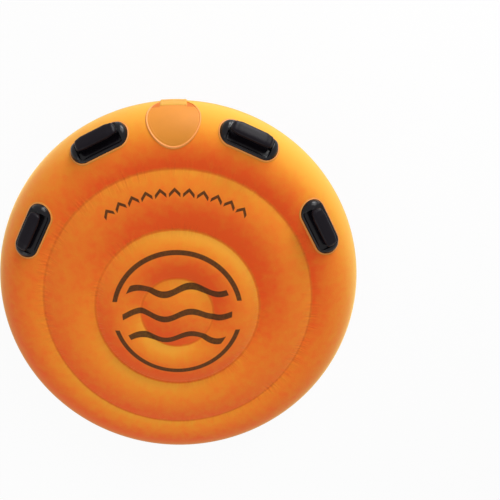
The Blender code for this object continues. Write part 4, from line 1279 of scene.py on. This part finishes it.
dress(deck_skin, "tube", "flocked_deck", "top_sheet")
dress(underside_skin, "tube", "printed_underside", "bottom_sheet")
for name, patch, base, cord, grip in handle_pieces:
    node = f"handle_{name}_"
    dress(patch, "tube", "smooth_orange_pvc", node + "patch")
    dress(base, "tube", "moulded_black", node + "pad", node + "mound_a", node + "mound_b")
    dress(cord, f"grip_{name}", "moulded_black", node + "core")
    dress(grip, f"grip_{name}", "grip_black", node + "grip")
dress(patch_top, "tube", "smooth_orange_pvc", "top_tow_patch")
dress(patch_lobed, "tube", "smooth_orange_pvc", "underside_tow_patch")
dress(band, "tube", "smooth_orange_pvc", "tow_band", own=band_finish)
dress(bar, "tube", "clear_pvc", "tow_anchor_bar")
dress(webbing, "tube", "webbing", "tow_strap")
dress(stitches, "tube", "webbing", own=thread_finish)
dress(ring, "hanging_ring", "stainless", "tow_ring")
dress(flange, "tube", "valve_white", "valve_flange")
dress(seal, "tube", "valve_rubber", "valve_seal")
dress(insert, "tube", "valve_white", "valve_insert")
dress(flap_disc, "check_flap", "valve_rubber", "valve_flap")
dress(gasket, "gasket", "valve_rubber", "cap_gasket")
dress(cap, "cap", "valve_white", "valve_cap")
kept_solids = {
    "baffle_pvc": ("rim_weld_tape", "outer_baffle", "middle_baffle", "centre_baffle"),
    "valve_white": ("cap_tether",),
}
for slot, nodes in kept_solids.items():
    for node in nodes:
        for material_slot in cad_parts[node].material_slots:
            material_slot.material = finishes[slot]
print("every piece is dressed")

# %% [markdown]
# ## Studio
# The photograph is a cut-out on white with one broad light from the upper right.
# The floor looks white to the camera and in reflections, and still takes the
# tube's shadow.

# %% Floor, lights and sky
FLOOR_HALF_W, FLOOR_WHITE, SKY_LEVEL = 9.0, 0.93, 0.48


def plainly_seen(start):
    """1 for rays from the camera, in gloss or through clear plastic, and 0 for others."""
    rays = start.node("ShaderNodeLightPath").socket.node
    kinds = ("Is Camera Ray", "Is Glossy Ray", "Is Transmission Ray")
    return sum(Signal(start.tree, rays.outputs[kind]) for kind in kinds).clamp()


def floor_finish():
    """White to the camera and in gloss, with the shadow kept."""
    made = bpy.data.materials.new("floor")
    made.use_nodes = True
    made.node_tree.nodes.clear()
    start = Signal(made.node_tree)
    matte = start.node("ShaderNodeBsdfDiffuse", {"Color": (0.80, 0.80, 0.80, 1.0)})
    white = start.node("ShaderNodeEmission", {"Color": (1.0, 1.0, 1.0, 1.0), "Strength": 1.0})
    share = plainly_seen(start) * FLOOR_WHITE
    both = start.node("ShaderNodeMixShader", {0: share, 1: matte, 2: white})
    start.node("ShaderNodeOutputMaterial", {0: both})
    return made


corners = ((-1.0, -1.0), (1.0, -1.0), (1.0, 1.0), (-1.0, 1.0))
corners = [(x * FLOOR_HALF_W, y * FLOOR_HALF_W, 0.0) for x, y in corners]
floor = mesh_piece("floor", corners, [(0, 1, 2, 3)])
floor.data.materials.append(floor_finish())


def lamp(name, size, power, at):
    """A square soft light that faces the deck."""
    light = bpy.data.lights.new(name, "AREA")
    light.size = size
    light.energy = power
    obj = added(name, light)
    at, aim = np.array(at, float), np.array([0.0, 0.0, MID_Z])
    back = (at - aim) / np.linalg.norm(at - aim)
    right = np.cross([0.0, 0.0, 1.0], back)
    right /= np.linalg.norm(right)
    matrix = np.eye(4)
    matrix[:3] = np.stack([right, np.cross(back, right), back, at], 1)
    obj.matrix_world = Matrix(matrix)


lamp("key", 2.2, 76.0, (1.5, 2.9, 1.6))
lamp("rim", 1.2, 42.0, (1.1, 3.0, 0.40))
lamp("fill", 2.8, 34.0, (-1.6, -2.4, 2.6))
world = bpy.data.worlds.new("studio")
bpy.context.scene.world = world
world.use_nodes = True
world.node_tree.nodes.clear()
start = Signal(world.node_tree)
level = plainly_seen(start) * (1.0 - SKY_LEVEL) + SKY_LEVEL
sky = start.node("ShaderNodeBackground", {"Color": (1.0, 1.0, 1.0, 1.0), "Strength": level})
start.node("ShaderNodeOutputWorld", {0: sky})
bpy.context.scene.view_settings.view_transform = "Standard"
print("studio is lit")
